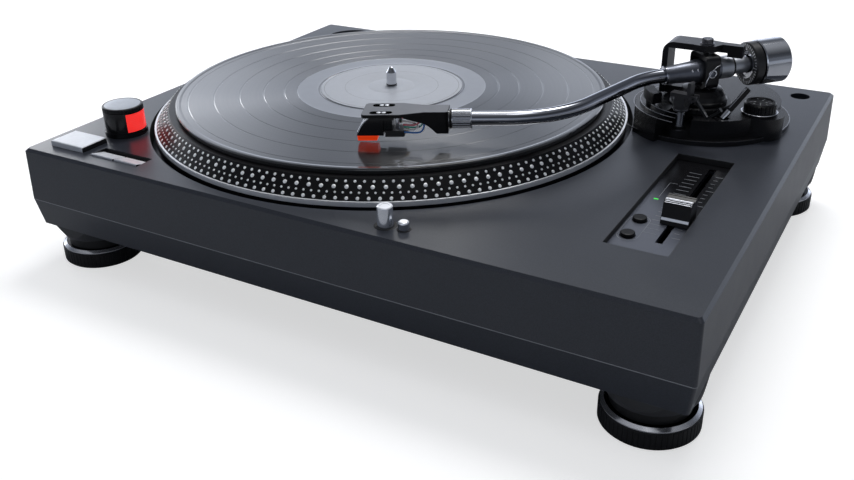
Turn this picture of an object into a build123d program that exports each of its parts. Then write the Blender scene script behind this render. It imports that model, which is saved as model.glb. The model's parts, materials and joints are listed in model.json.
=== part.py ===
"""Direct-drive record player with an S-shaped tonearm, built as separate named parts.

Millimetres.  The frame stands at the middle of the case on the floor: +X right, +Y back, +Z up.
Heights given as "above the deck" are added to DECK, the flat top of the case.
"""
from build123d import *
from math import cos, sin, tan, radians, hypot
import os

# ---- case ----
DECK = 83.0
CASE = (447.0, 348.0, 28.0)
CREASE = (452.0, 354.0, 47.0)
SHOULDER = (450.0, 352.0, 81.15)
TOP_EDGE = (446.3, 348.3, DECK)
CORNER_R = 2.0
WALL = 3.0
DECK_T = 3.0
COVER_T = 3.0
COVER_GAP = 0.2
COVER_RIB_H = 6.0
COVER_RIB_T = 2.0
COVER_RIB_PITCH = 44.0
POST_R = 5.0
COVER_POSTS = [(-125.0, -100.0), (-125.0, 105.0), (25.0, -100.0), (25.0, 105.0), (150.0, -158.0), (150.0, 155.0)]
SCREW_R = 3.5
SCREW_T = 1.5

# ---- platter and record ----
SPINDLE = (-47.5, 1.0)
WELL_R = 169.75
WELL_FLOOR = DECK - 12.0
WELL_T = 2.5
WELL_WALL = 2.0
MOTOR_HOLE_R = 58.0
PLATTER_R = 166.0
PLATTER_EDGE = (DECK - 4.0, DECK + 3.2)
BEVEL = ((164.5, DECK + 3.2), (155.3, DECK + 13.2))
LIP_TOP = DECK + 13.5
MAT_SEAT = DECK + 12.5
MAT_SEAT_R = 150.5
WEB_UNDER = DECK + 9.0
SKIN = 3.0
HUB_R = 14.0
HUB_BOTTOM = DECK - 16.0
SKIRT = (44.0, 52.0, DECK - 11.0)
RIB_COUNT = 12
RIB_T = 2.4
SPINDLE_R = 3.55
SPINDLE_TIP = DECK + 30.9
SPINDLE_CONE = 4.0
SPINDLE_GROOVE = (DECK + 17.5, DECK + 18.7)
SPINDLE_BOTTOM = DECK - 36.7
RUN = 0.05
BEARING_R = 8.0
STATOR_FLOOR = (DECK - 39.0, DECK - 37.0)
STATOR_WALL = (55.0, 57.0)
STATOR_FLANGE_R = 66.0
COIL_COUNT = 9
COIL_R = 7.0
COIL_RING_R = 28.0
MAGNET = (44.5, 50.5, DECK - 25.0)
MAT_R = 149.0
MAT_T = 2.7
MAT_HOLE_R = 4.0
RECORD_R = 150.5
RECORD_HOLE_R = 3.62
LABEL_R = 50.0
GROOVES_TOP = DECK + 16.7
RIM_TOP = DECK + 16.9
LABEL_TOP = DECK + 16.95
BEAD_W = 4.0

# ---- controls on the deck ----
GAP = 0.4
STOP_AT = (-197.5, -153.0)
STOP_SIZE = (29.0, 21.0, 3.5)
STOP_TRAVEL = 2.0
SPEED_RECESS = (-155.3, -157.2, 41.6, 14.0)
SPEED_SIZE = (19.5, 11.0, 1.5)
SPEED_PITCH = 20.7
SPEED_Y = -158.3
SPEED_TRAVEL = 1.5
POCKET_DEPTH = 7.0
POCKET_T = 2.5
POCKET_WALL = 1.5
STEM_R = 2.0
STEM_L = 10.0
TOWER_AT = (-185.7, -121.9)
TOWER_R = 13.5
TOWER_FLANGE = (14.3, 3.0)
TOWER_TOP = DECK + 17.0
KNOB_TOP = DECK + 20.0
KNOB_STEM_R = 4.0
WINDOW_Z = (DECK + 3.8, DECK + 16.2)
WINDOW_ANGLES = (-38.0, 78.0)
WINDOW_T = 1.6
TARGET_AT = (48.0, -161.1)
TARGET_R = 5.5
TARGET_H = 12.0
TARGET_DROP = 12.0
TARGET_BODY = 27.0
LIGHT_AT = (59.3, -160.6)
LIGHT_R = 3.15
LIGHT_H = 5.0
LIGHT_BODY = 15.0
GUIDE_WALL = 2.0

# ---- pitch control ----
PITCH_AT = (175.7, -57.25)
PITCH_SIZE = (35.2, 135.5)
PITCH_DEPTH = 3.7
PANEL_T = 1.2
PAN_T = 2.0
SLOT_X = 182.4
SLOT_Y = (-106.0, 3.0)
SLOT_W = 4.0
FADER_Y = -76.0
FADER_W = 15.5
FADER_TOP = DECK + 10.0
FADER_PROFILE = ((-8.5, 0.6), (7.0, 0.6), (6.2, 11.6), (4.4, 13.7), (1.0, 12.6), (-2.6, 13.7), (-5.2, 12.0))
LEVER_T = (3.2, 4.0)
CARRIAGE = (9.0, 10.0, 6.0)
TRACK = (13.0, 1.0, 10.0)
LED_AT = (164.5, -53.8)
LED_R = 2.0
PITCH_BUTTONS = [(165.0, -84.3), (165.0, -104.7)]
PITCH_BUTTON_R = 4.0
PITCH_BUTTON_H = 1.6

# ---- storage places ----
SHELL_HOLE = (204.5, 156.3, 6.7, 24.0)
ADAPTOR = (-181.3, 147.5, 21.3, 5.0)

# ---- rear connections ----
REAR_BAY = (-90.0, 150.0, 40.0, 62.0)
INLET_BAY = (115.0, 50.0, 40.0, 62.0)
BAY_FLOOR_Y = 162.0
BAY_T = 2.0
REAR_PLATE_T = 1.5
JACK_X = (-148.0, -130.0)
JACK_R = 4.15
JACK_LENGTH = 8.0
SWITCH_X = -107.0
SWITCH_SLOT = (14.0, 5.0)
SWITCH_KNOB = (5.0, 4.2, 3.5)
SWITCH_TRAVEL = 6.0
USB_X = -78.0
USB_SHELL = (12.0, 11.0, 9.0)
GROUND_X = -40.0
GROUND_R = (1.5, 4.5)
GROUND_Y = (163.5, 165.0, 171.5)
INLET_CAVITY = (24.0, 16.2, 15.0)
INLET_BODY = (28.0, 20.0, 18.0)

# ---- feet ----
FOOT_AT = [(-198.4, -148.7), (198.4, -148.7), (-198.4, 148.7), (198.4, 148.7)]
BOSS_BOTTOM = 19.6
BOSS_R = (24.0, 28.5)
BOSS_HOLLOW = (22.2, 26.0)
FOOT_BASE = (26.8, 10.8)
RING_R = (26.0, 24.0)
RING_TOP = 12.8
NECK_R = 21.6
NECK_TOP = 21.5
FOOT_STEM = (5.0, 40.0)
KNURLS = 60

# ---- tonearm ----
PIVOT = (155.5, 63.5)
PIVOT_Z = DECK + 39.0
ARM_ANGLE = 225.0
ARM_DIP = 2.02
ARM_LENGTH = 228.0
OFFSET_ANGLE = 22.0
TUBE_R = 4.4
TUBE_BORE = 3.2
TUBE_START = 28.0
KNEE = (44.3, 120.1)
RISE_ANGLE = 29.9
BEND_R = (48.0, 62.0)
TUBE_END = 172.0
NUT_SPAN = (-12.4, 0.0)
NUT_R = 6.15
SHELL_X = 178.6
COLLAR = ((28.0, 5.8), (21.5, 6.0), (10.0, 6.9), (7.0, 7.3))
HUB_ARM_R = 7.7
REAR_STUB = (5.8, 17.7, 7.4)
REAR_BAND = (19.3, 6.7)
REAR_SHAFT = (30.0, 5.5)
THIN_SHAFT = (50.0, 4.0)
CROSS_PIN = (2.0, 10.0)
DIAL = (30.0, 37.0, 14.2)
DRUM = (37.3, 56.0, 14.7)
DRUM_CAVITY = 54.2
BUSH = (39.0, 47.0, 7.6)
DIAL_BOSS = (6.2, 9.4, 31.2)
GIMBAL = (10.6, 8.2, 5.0)
GIMBAL_Z = (-10.2, -8.35, 8.4, 11.2)
GIMBAL_R = 3.5
TOP_PIN = (2.0, 15.1)
BOTTOM_PIN = (2.5, -17.0)
TURRET_TOP = DECK + 28.4
TURRET = ((16.9, 19.0), (16.9, 20.6), (15.7, 21.2), (15.1, 24.0), (12.6, 27.4), (9.0, 28.4))
NECK = (12.0, DECK - 12.0)
BRIDGE_LEG = (-27.6, -23.8, -4.0, 13.0)
BRIDGE_TOP = (DECK + 52.0, DECK + 56.0)
BRIDGE_FOOT = (DECK + 21.4, DECK + 26.4)
BRIDGE_END = 9.0
BRIDGE_TIP = (22.0, 3.5, 9.5)
BRIDGE_DROP = (12.5, DECK + 48.2)
PIVOT_NUT = (3.7, DECK + 60.0)
LOCK_ANGLE = 263.0
LOCK_Z = DECK + 23.4
LOCK = (3.8, 16.0, 20.0)
HEIGHT_RING = (20.2, DECK + 14.8, DECK + 18.6)
HEIGHT_KNURLS = 40

# ---- tonearm base ----
BASE_AT = (150.0, 85.5)
BASE_FLANGE = (59.5, 3.0)
BASE_R = 52.5
BASE_TOP = DECK + 14.5
PLATTER_CUT = 170.5
TIERS = ((43.4, DECK + 16.0), (39.2, DECK + 17.5), (35.4, DECK + 19.0))
TIER_FOOT = 44.8
BASE_SPAN = ((118.5, 240.0), (0.0, 146.0), 32.0)
TIER_ANGLES = (98.0, 247.0)
TIER_INNER = 24.0
SKATE_AT = (193.4, 66.0)
SKATE_BULGE = (195.0, 67.0, 14.0)
SKATE_DIAL = (10.2, DECK + 16.3, DECK + 22.5)
SKATE_SEAT = (11.2, DECK + 16.0)
SKATE_FLUTES = 24
POST_AT = (150.0, 36.1)
POST_BULGE = (8.5, DECK + 8.0)
POST_RADIUS = 3.0
POST_HEAD = DECK + 19.0
PARK_ANGLE = 262.0
CRADLE_AT = 34.0
CRADLE_GAP = 0.45
CRADLE_HALF = 3.0
CLIP_HINGE = (9.2, -1.9)
CLIP_PIN = 0.8
CLIP_EYE = (1.6, 1.3)
CLIP_HOOK = (10.2, 14.4, 15.8)
CLIP_OPEN = 140.0
LIFTER = (31.0, 37.7, DECK + 20.8, DECK + 27.8)
LIFTER_ANGLES = (203.0, 231.0)
PISTON = (3.0, 34.3, 216.0, DECK + 8.0)
CUE_AT = (172.9, 44.6)
CUE_PIVOT_Z = DECK + 11.6
CUE_LEAN = 42.0
CUE_LENGTH = 28.0
CUE_POCKET = (-6.2, 4.0, 8.0, 6.5)
CUE_PIN = (1.2, 5.0)
CUE_STEM = (1.9, 11.0)
CUE_GRIP = (3.4, 3.0)
BARREL = (2.7, 3.6)


def block(x, y, z):
    """Box between three pairs of limits."""
    size = Box(x[1] - x[0], y[1] - y[0], z[1] - z[0])
    return Pos((x[0] + x[1]) / 2, (y[0] + y[1]) / 2, (z[0] + z[1]) / 2) * size


def rod(radius, z0, z1, at=(0.0, 0.0)):
    """Upright cylinder between two heights."""
    return Pos(at[0], at[1], z0) * extrude(Circle(radius), z1 - z0)


def tube(outer, inner, z0, z1, at=(0.0, 0.0)):
    """Upright ring between two heights."""
    return Pos(at[0], at[1], z0) * extrude(Circle(outer) - Circle(inner), z1 - z0)


def lathe(points, at=(0.0, 0.0)):
    """Solid turned about an upright axis from (radius, height) points."""
    profile = Plane.XZ * Polygon(*points, align=None)
    return Pos(at[0], at[1], 0) * revolve(profile, Axis.Z)


def prism(points, z0, z1):
    """Outline of plan points raised between two heights."""
    return Pos(0, 0, z0) * extrude(Polygon(*points, align=None), z1 - z0, dir=(0, 0, 1))


def slab(points, half):
    """Outline of (x, z) points given a thickness to both sides along y."""
    return Rot(90, 0, 0) * prism(points, -half, half)


def fan(reach, start, stop, z0, z1, at=(0.0, 0.0)):
    """Wedge of plan between two angles, used to cut sectors."""
    steps = [start + (stop - start) * i / 4 for i in range(5)]
    rim = [(2 * reach * cos(radians(a)), 2 * reach * sin(radians(a))) for a in steps]
    return Pos(at[0], at[1], 0) * prism([(0.0, 0.0)] + rim, z0, z1)


def around(count, shape, radius, at=(0.0, 0.0), start=0.0):
    """Copies of a shape spaced evenly on a circle, each turned outwards."""
    turns = [start + 360.0 * i / count for i in range(count)]
    return [Pos(at[0], at[1], 0) * Rot(0, 0, a) * Pos(radius, 0, 0) * shape for a in turns]


def polar(radius, angle, at=PIVOT):
    """Plan point at a distance and angle from a centre."""
    return (at[0] + radius * cos(radians(angle)), at[1] + radius * sin(radians(angle)))


def arm_frame(angle=ARM_ANGLE, dip=ARM_DIP):
    """Frame at the arm's pivot: x runs to the stylus, y outwards, z up."""
    flat = cos(radians(dip))
    ahead = (cos(radians(angle)) * flat, sin(radians(angle)) * flat, -sin(radians(dip)))
    up = (cos(radians(angle)) * sin(radians(dip)), sin(radians(angle)) * sin(radians(dip)), flat)
    return Plane(origin=(PIVOT[0], PIVOT[1], PIVOT_Z), x_dir=ahead, z_dir=up).location


def shell_frame():
    """Frame at the headshell's back end, x along the headshell."""
    side = (ARM_LENGTH - SHELL_X) * tan(radians(OFFSET_ANGLE))
    return arm_frame() * Pos(SHELL_X, side, 0) * Rot(0, 0, -OFFSET_ANGLE)


def along(shape):
    """Turns an upright lathe shape so that its axis runs along x."""
    return Rot(0, 90, 0) * shape


def case_section(size, shrink=0.0):
    """Rounded rectangle of the case at one height, as a plane face."""
    corner = max(CORNER_R - shrink, 0.5)
    return Pos(0, 0, size[2]) * RectangleRounded(size[0] - 2 * shrink, size[1] - 2 * shrink, corner)


def recess_pan(x, y, floor_z, wall, floor_t):
    """Solid of the pan that a deck recess is cut from."""
    return block((x[0] - wall, x[1] + wall), (y[0] - wall, y[1] + wall), (floor_z - floor_t, DECK - 1))


def centred(at, size):
    """Limits of a rectangle from its centre and size."""
    return ((at[0] - size[0] / 2, at[0] + size[0] / 2), (at[1] - size[1] / 2, at[1] + size[1] / 2))


def stop_pocket():
    """Plan limits of the start button's pocket."""
    return centred(STOP_AT, (STOP_SIZE[0] + 2 * GAP, STOP_SIZE[1] + 2 * GAP))


def speed_pocket():
    """Plan limits of the recess round the two speed buttons."""
    return centred(SPEED_RECESS[:2], SPEED_RECESS[2:])


def speed_centres():
    """Plan centres of the two speed buttons."""
    return [(SPEED_RECESS[0] + s * SPEED_PITCH / 2, SPEED_Y) for s in (-1, 1)]


def bay_pans():
    """Solid pans behind the two rear bays."""
    pans = []
    for mid, width, low, high in (REAR_BAY, INLET_BAY):
        x = (mid - width / 2 - BAY_T, mid + width / 2 + BAY_T)
        pans.append(block(x, (BAY_FLOOR_Y - BAY_T, TOP_EDGE[1] / 2), (low - BAY_T, high + BAY_T)))
    return pans


def bay_cuts():
    """Spaces of the two rear bays, open to the back."""
    cuts = []
    for mid, width, low, high in (REAR_BAY, INLET_BAY):
        cuts.append(block((mid - width / 2, mid + width / 2), (BAY_FLOOR_Y, CREASE[1]), (low, high)))
    body = centred((INLET_BAY[0], (INLET_BAY[2] + INLET_BAY[3]) / 2), INLET_BODY[:2])
    cuts.append(block(body[0], (BAY_FLOOR_Y - 2 * BAY_T, BAY_FLOOR_Y), body[1]))
    return cuts


def top_chassis():
    """Case shell with the platter well, pockets, guide tubes and rear bays."""
    outer = loft([case_section(s) for s in (CASE, CREASE, SHOULDER, TOP_EDGE)], ruled=True)
    ceiling = (SHOULDER[0], SHOULDER[1], DECK - DECK_T)
    inner = loft([case_section(s, WALL) for s in (CASE, CREASE, ceiling)], ruled=True)
    shell = outer - inner
    well = rod(WELL_R + WELL_WALL, WELL_FLOOR - WELL_T, DECK - 1, SPINDLE)
    pans = [well]
    pans.append(recess_pan(*stop_pocket(), DECK - POCKET_DEPTH, POCKET_WALL, POCKET_T))
    pans.append(recess_pan(*speed_pocket(), DECK - POCKET_DEPTH, POCKET_WALL, POCKET_T))
    pitch = centred(PITCH_AT, PITCH_SIZE)
    pans.append(recess_pan(*pitch, DECK - PITCH_DEPTH - PANEL_T, POCKET_WALL, PAN_T))
    pans.append(rod(ADAPTOR[2] + WELL_WALL, DECK - ADAPTOR[3] - PAN_T, DECK - 1, ADAPTOR[:2]))
    pans.append(rod(SHELL_HOLE[2] + GUIDE_WALL, DECK - SHELL_HOLE[3] - PAN_T, DECK - 1, SHELL_HOLE[:2]))
    pans.append(rod(TARGET_R + GUIDE_WALL, DECK - TARGET_BODY, DECK - 1, TARGET_AT))
    pans.append(rod(LIGHT_R + GUIDE_WALL, DECK - LIGHT_BODY + 4, DECK - 1, LIGHT_AT))
    for x, y in COVER_POSTS:
        under = WELL_FLOOR - WELL_T if hypot(x - SPINDLE[0], y - SPINDLE[1]) < WELL_R else DECK - DECK_T
        pans.append(rod(POST_R, CASE[2] + COVER_T, under + 0.5, (x, y)))
    pans += bay_pans()
    cuts = [rod(WELL_R, WELL_FLOOR, DECK + 1, SPINDLE)]
    cuts.append(rod(MOTOR_HOLE_R, WELL_FLOOR - 2 * WELL_T, DECK, SPINDLE))
    cuts.append(block(*stop_pocket(), (DECK - POCKET_DEPTH, DECK + 1)))
    cuts.append(block(*speed_pocket(), (DECK - POCKET_DEPTH, DECK + 1)))
    for x, y in [STOP_AT] + speed_centres():
        cuts.append(rod(STEM_R + RUN, DECK - 2 * POCKET_DEPTH, DECK, (x, y)))
    cuts.append(block(*pitch, (DECK - PITCH_DEPTH - PANEL_T, DECK + 1)))
    for x, y in PITCH_BUTTONS:
        cuts.append(rod(STEM_R + RUN, DECK - 4 * PITCH_DEPTH, DECK, (x, y)))
    slot = (SLOT_X - SLOT_W / 2, SLOT_X + SLOT_W / 2)
    cuts.append(block(slot, SLOT_Y, (DECK - 4 * PITCH_DEPTH, DECK)))
    cuts.append(rod(ADAPTOR[2], DECK - ADAPTOR[3], DECK + 1, ADAPTOR[:2]))
    cuts.append(rod(SHELL_HOLE[2], DECK - SHELL_HOLE[3], DECK + 1, SHELL_HOLE[:2]))
    cuts.append(rod(TARGET_R + RUN, DECK - 2 * TARGET_BODY, DECK + 1, TARGET_AT))
    cuts.append(rod(LIGHT_R + RUN, DECK - 2 * LIGHT_BODY, DECK + 1, LIGHT_AT))
    cuts.append(rod(NECK[0] + WALL, DECK - 2 * DECK_T, DECK + 1, PIVOT))
    cuts.append(rod(POST_RADIUS + 1, DECK - 2 * DECK_T, DECK + 1, POST_AT))
    cuts += bay_cuts()
    return shell + pans - cuts


def base_cover():
    """Floor of the case with ribs and the four conical foot bosses."""
    x = CASE[0] / 2 - WALL - COVER_GAP
    y = CASE[1] / 2 - WALL - COVER_GAP
    top = CASE[2] + COVER_T
    plate = block((-x, x), (-y, y), (CASE[2], top))
    outline = centred((0, 0), CASE[:2])
    ribs = []
    for i in range(-4, 5):
        rib = (i * COVER_RIB_PITCH - COVER_RIB_T / 2, i * COVER_RIB_PITCH + COVER_RIB_T / 2)
        ribs.append(block(rib, (-y + 12, y - 24), (top, top + COVER_RIB_H)))
    for i in range(-3, 4):
        rib = (i * COVER_RIB_PITCH - COVER_RIB_T / 2, i * COVER_RIB_PITCH + COVER_RIB_T / 2)
        ribs.append(block((-x + 12, x - 12), rib, (top, top + COVER_RIB_H)))
    cover = plate + ribs
    for at in COVER_POSTS:
        cover -= rod(POST_R + 1, top, top + COVER_RIB_H + 1, at)
        cover -= rod(SCREW_R, CASE[2] - 1, CASE[2] + SCREW_T, at)
    bosses = []
    for at in FOOT_AT:
        cone = lathe([(0, BOSS_BOTTOM), (BOSS_R[0], BOSS_BOTTOM), (BOSS_R[1], CASE[2]), (0, CASE[2])], at)
        tower = rod(FOOT_STEM[0] + 3, CASE[2], FOOT_STEM[1] + 4, at)
        bosses.append(cone & block(*outline, (0, CASE[2])))
        bosses.append(tower)
    cover += bosses
    for at in FOOT_AT:
        cover -= rod(BOSS_HOLLOW[0], BOSS_BOTTOM - 1, BOSS_HOLLOW[1], at)
        cover -= rod(FOOT_STEM[0] + RUN, BOSS_BOTTOM, FOOT_STEM[1] + 5, at)
    return cover


def base_screws():
    """Six screws that hold the floor of the case to its posts."""
    heads = [rod(SCREW_R - 0.1, CASE[2], CASE[2] + SCREW_T, at) for at in COVER_POSTS]
    slots = [block((at[0] - 2.4, at[0] + 2.4), (at[1] - 0.4, at[1] + 0.4), (CASE[2] - 1, CASE[2] + 0.7))
             for at in COVER_POSTS]
    return Compound(children=[head - slot for head, slot in zip(heads, slots)])


def rear_panel():
    """Plate at the back of the long bay that carries the sockets."""
    mid, width, low, high = REAR_BAY
    z = (low + high) / 2
    x = (mid - width / 2 + 0.1, mid + width / 2 - 0.1)
    plate = block(x, (BAY_FLOOR_Y, BAY_FLOOR_Y + REAR_PLATE_T), (low + 0.1, high - 0.1))
    slot_x = (SWITCH_X - SWITCH_SLOT[0] / 2, SWITCH_X + SWITCH_SLOT[0] / 2)
    slot_z = (z - SWITCH_SLOT[1] / 2, z + SWITCH_SLOT[1] / 2)
    return plate - block(slot_x, (BAY_FLOOR_Y - 1, BAY_FLOOR_Y + 3), slot_z)


def backwards(shape, x, y, z):
    """Turns an upright shape so that its axis points to the back from a given point."""
    return Pos(x, y, z) * Rot(-90, 0, 0) * shape


def rca_jacks():
    """Pair of round signal jacks with flanged sleeves."""
    z = (REAR_BAY[2] + REAR_BAY[3]) / 2
    sleeve = tube(JACK_R, 1.7, 0, JACK_LENGTH) + rod(JACK_R, 0, 1.5) + tube(JACK_R + 2.0, 1.7, 0, 1.4)
    y = BAY_FLOOR_Y + REAR_PLATE_T
    return Compound(children=[backwards(sleeve, x, y, z) for x in JACK_X])


def usb_socket():
    """Square data socket with its centre tongue."""
    z = (REAR_BAY[2] + REAR_BAY[3]) / 2
    y = BAY_FLOOR_Y + REAR_PLATE_T
    w, h, depth = USB_SHELL
    shell = block((USB_X - w / 2, USB_X + w / 2), (y, y + depth), (z - h / 2, z + h / 2))
    shell -= block((USB_X - w / 2 + 1, USB_X + w / 2 - 1), (y + 1, y + depth + 1), (z - h / 2 + 1, z + h / 2 - 1))
    return shell + block((USB_X - 2.8, USB_X + 2.8), (y + 0.5, y + depth - 1), (z - 1.6, z + 1.6))


def mains_inlet():
    """Three-pin power inlet set into the short bay."""
    z = (INLET_BAY[2] + INLET_BAY[3]) / 2
    x = INLET_BAY[0]
    face = BAY_FLOOR_Y + REAR_PLATE_T
    flange = centred((x, z), (INLET_BAY[1] - 0.2, INLET_BAY[3] - INLET_BAY[2] - 0.2))
    body = centred((x, z), (INLET_BODY[0] - 0.2, INLET_BODY[1] - 0.2))
    hollow = centred((x, z), INLET_CAVITY[:2])
    part = block(flange[0], (BAY_FLOOR_Y, face), flange[1])
    part += block(body[0], (face - INLET_BODY[2], face), body[1])
    part -= block(hollow[0], (face - INLET_CAVITY[2], face + 1), hollow[1])
    for dx, dz in ((-7.0, -2.0), (7.0, -2.0), (0.0, 1.2)):
        pin = centred((x + dx, z + dz), (2.0, 4.0))
        part += block(pin[0], (face - INLET_CAVITY[2] - 0.5, face - 4), pin[1])
    return part


def line_switch():
    """Small sliding switch knob on the socket plate."""
    z = (REAR_BAY[2] + REAR_BAY[3]) / 2
    x = SWITCH_X - SWITCH_TRAVEL / 2
    y = BAY_FLOOR_Y + REAR_PLATE_T
    w, h, out = SWITCH_KNOB
    knob = block((x - w / 2, x + w / 2), (y - 1.2, y + out), (z - h / 2, z + h / 2))
    grooves = [block((x + d - 0.3, x + d + 0.3), (y + out - 0.7, y + out + 1), (z - h, z + h)) for d in (-1.4, 0, 1.4)]
    return knob - grooves


def ground_post():
    """Threaded stud that the earth nut turns on."""
    z = (REAR_BAY[2] + REAR_BAY[3]) / 2
    y0 = BAY_FLOOR_Y + REAR_PLATE_T
    stud = rod(GROUND_R[0], 0, GROUND_Y[2] - y0) + rod(GROUND_R[1], 0, GROUND_Y[1] - y0 - 0.35)
    return backwards(stud, GROUND_X, y0, z)


def ground_nut():
    """Knurled earth nut on its stud."""
    z = (REAR_BAY[2] + REAR_BAY[3]) / 2
    length = GROUND_Y[2] - GROUND_Y[1] - 1.5
    nut = tube(GROUND_R[1], GROUND_R[0] + RUN, 0, length)
    nut -= around(18, rod(0.5, -1, length + 1), GROUND_R[1])
    return backwards(nut, GROUND_X, GROUND_Y[1], z)


def motor_stator():
    """Dish under the platter well with the bearing tube and the ring of coils."""
    low, floor = STATOR_FLOOR
    top = WELL_FLOOR - WELL_T
    inner, outer = STATOR_WALL
    profile = [(0, low), (outer, low), (outer, top - 2.5), (STATOR_FLANGE_R, top - 2.5),
               (STATOR_FLANGE_R, top), (inner, top), (inner, floor), (0, floor)]
    dish = lathe(profile, SPINDLE) + rod(BEARING_R, floor, HUB_BOTTOM - 1, SPINDLE)
    coil = rod(COIL_R - 2, floor, floor + 8) + tube(COIL_R, 2.0, floor, floor + 5.5)
    dish += around(COIL_COUNT, coil, COIL_RING_R, SPINDLE)
    return dish - rod(SPINDLE_R + RUN, floor, HUB_BOTTOM, SPINDLE)


def control_board():
    """Circuit board on four short posts on the floor of the case."""
    top = CASE[2] + COVER_T
    board = block((95, 205), (-110, -28), (top + 9, top + 10.6))
    posts = [rod(2.5, top, top + 9, (x, y)) for x in (100, 200) for y in (-105, -33)]
    chips = [block((118, 132), (-70, -56), (top + 10.6, top + 12.4)), rod(4, top + 10.6, top + 20, (150, -90)),
             rod(4, top + 10.6, top + 20, (165, -90)), block((170, 190), (-52, -40), (top + 10.6, top + 19))]
    return board + posts + chips


def transformer():
    """Mains transformer: laminated core with its coil."""
    top = CASE[2] + COVER_T
    core = block((110, 160), (90, 128), (top + COVER_RIB_H, top + 36))
    coil = block((116, 154), (84, 134), (top + COVER_RIB_H + 5, top + 31))
    return core + coil


def strobe_tower():
    """Round power tower on the deck, open on the platter side for its red window."""
    flange_r, flange_h = TOWER_FLANGE
    tower = rod(flange_r, DECK, DECK + flange_h, TOWER_AT) + rod(TOWER_R, DECK, TOWER_TOP, TOWER_AT)
    span = fan(TOWER_R, *WINDOW_ANGLES, *WINDOW_Z, TOWER_AT)
    tower -= tube(TOWER_R + 1, TOWER_R - WINDOW_T, *WINDOW_Z, TOWER_AT) & span
    return tower - rod(KNOB_STEM_R + RUN, TOWER_TOP - 8, TOWER_TOP + 1, TOWER_AT)


def strobe_window():
    """Curved red window that lights the platter's dots."""
    ring = tube(TOWER_R, TOWER_R - WINDOW_T, *WINDOW_Z, TOWER_AT)
    return ring & fan(TOWER_R, *WINDOW_ANGLES, *WINDOW_Z, TOWER_AT)


def power_knob():
    """Turning cap of the power tower, with a grip rib and a dished top."""
    low = TOWER_TOP + 0.3
    profile = [(0, low), (TOWER_R, low), (TOWER_R, KNOB_TOP - 0.6), (TOWER_R - 0.6, KNOB_TOP),
               (TOWER_R - 1.6, KNOB_TOP), (TOWER_R - 2.0, KNOB_TOP - 0.35), (0, KNOB_TOP - 0.35)]
    cap = lathe(profile, TOWER_AT) + rod(KNOB_STEM_R, TOWER_TOP - 7.5, low, TOWER_AT)
    return cap - around(36, rod(0.35, low - 1, KNOB_TOP + 1), TOWER_R, TOWER_AT)


def push_button(at, size, travel, dome=0.5):
    """Rectangular button cap with chamfered top edges, hollow below, on a guide stem."""
    w, d, h = size
    low = DECK - POCKET_DEPTH + travel + GAP
    x, y = centred(at, (w, d))
    cap = block(x, y, (low, DECK + h))
    cap = chamfer(cap.faces().sort_by(Axis.Z)[-1].edges(), dome)
    inside = block((x[0] + 1.5, x[1] - 1.5), (y[0] + 1.5, y[1] - 1.5), (low - 1, DECK + h - 2.2))
    stem_bottom = DECK - POCKET_DEPTH - POCKET_T - STEM_L / 4
    return cap - inside + rod(STEM_R, stem_bottom, DECK + h - 1, at)


def round_button(at, radius, low, top, rim):
    """Round plunger with a rounded top edge."""
    arc = [(radius - rim + rim * sin(radians(a)), top - rim + rim * cos(radians(a))) for a in (90, 60, 30, 0)]
    return lathe([(0, low), (radius, low)] + arc + [(0, top)], at)


def target_light():
    """Pop-up light that shines on the stylus, with its lens slit."""
    light = round_button(TARGET_AT, TARGET_R, DECK - TARGET_BODY + TARGET_DROP, DECK + TARGET_H, 1.2)
    toward = Rot(0, 0, 122)
    slit = Pos(TARGET_AT[0], TARGET_AT[1], 0) * toward * block((TARGET_R - 1.5, TARGET_R + 1), (-2.2, 2.2),
                                                              (DECK + 6.0, DECK + 9.5))
    return light - slit


def pitch_panel():
    """Plate at the bottom of the pitch recess with the slot and button holes."""
    x, y = centred(PITCH_AT, (PITCH_SIZE[0] - 0.2, PITCH_SIZE[1] - 0.2))
    plate = block(x, y, (DECK - PITCH_DEPTH - PANEL_T, DECK - PITCH_DEPTH))
    plate -= block((SLOT_X - SLOT_W / 2, SLOT_X + SLOT_W / 2), SLOT_Y, (DECK - 8, DECK))
    return plate - [rod(PITCH_BUTTON_R + GAP, DECK - 8, DECK, at) for at in PITCH_BUTTONS]


def fader_track():
    """Channel under the deck that the fader's carriage runs in."""
    w, t, h = TRACK
    top = DECK - PITCH_DEPTH - PANEL_T - PAN_T
    x = (SLOT_X - w / 2, SLOT_X + w / 2)
    channel = block(x, (SLOT_Y[0] - 4, SLOT_Y[1] + 4), (top - h, top))
    return channel - block((x[0] + t, x[1] - t), (SLOT_Y[0] - 3, SLOT_Y[1] + 3), (top - h + t, top + 1))


def pitch_fader():
    """Fader cap with a finger hollow, on its lever and carriage."""
    base = DECK - PITCH_DEPTH
    side = Plane(origin=(SLOT_X + 1.6 - FADER_W / 2, FADER_Y, base), x_dir=(0, 1, 0), z_dir=(1, 0, 0))
    cap = extrude(side * Polygon(*FADER_PROFILE, align=None), FADER_W)
    ridges = [block((SLOT_X - FADER_W, SLOT_X + FADER_W), (FADER_Y + d - 0.25, FADER_Y + d + 0.25),
                    (base + 13.15, base + 20)) for d in (-3.4, -2.4, 3.4, 4.6)]
    cap -= ridges
    lever_x, lever_y = centred((SLOT_X, FADER_Y), LEVER_T)
    carriage_x, carriage_y = centred((SLOT_X, FADER_Y), CARRIAGE[:2])
    top = base - PANEL_T - PAN_T - 1
    return cap + block(lever_x, lever_y, (top - 1, base + 2)) + block(carriage_x, carriage_y, (top - CARRIAGE[2], top))


def pitch_led():
    """Small round lamp in the pitch panel."""
    base = DECK - PITCH_DEPTH
    return lathe([(0, base), (LED_R, base), (LED_R, base + 0.5), (LED_R - 0.7, base + 1.2), (0, base + 1.4)], LED_AT)


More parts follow.
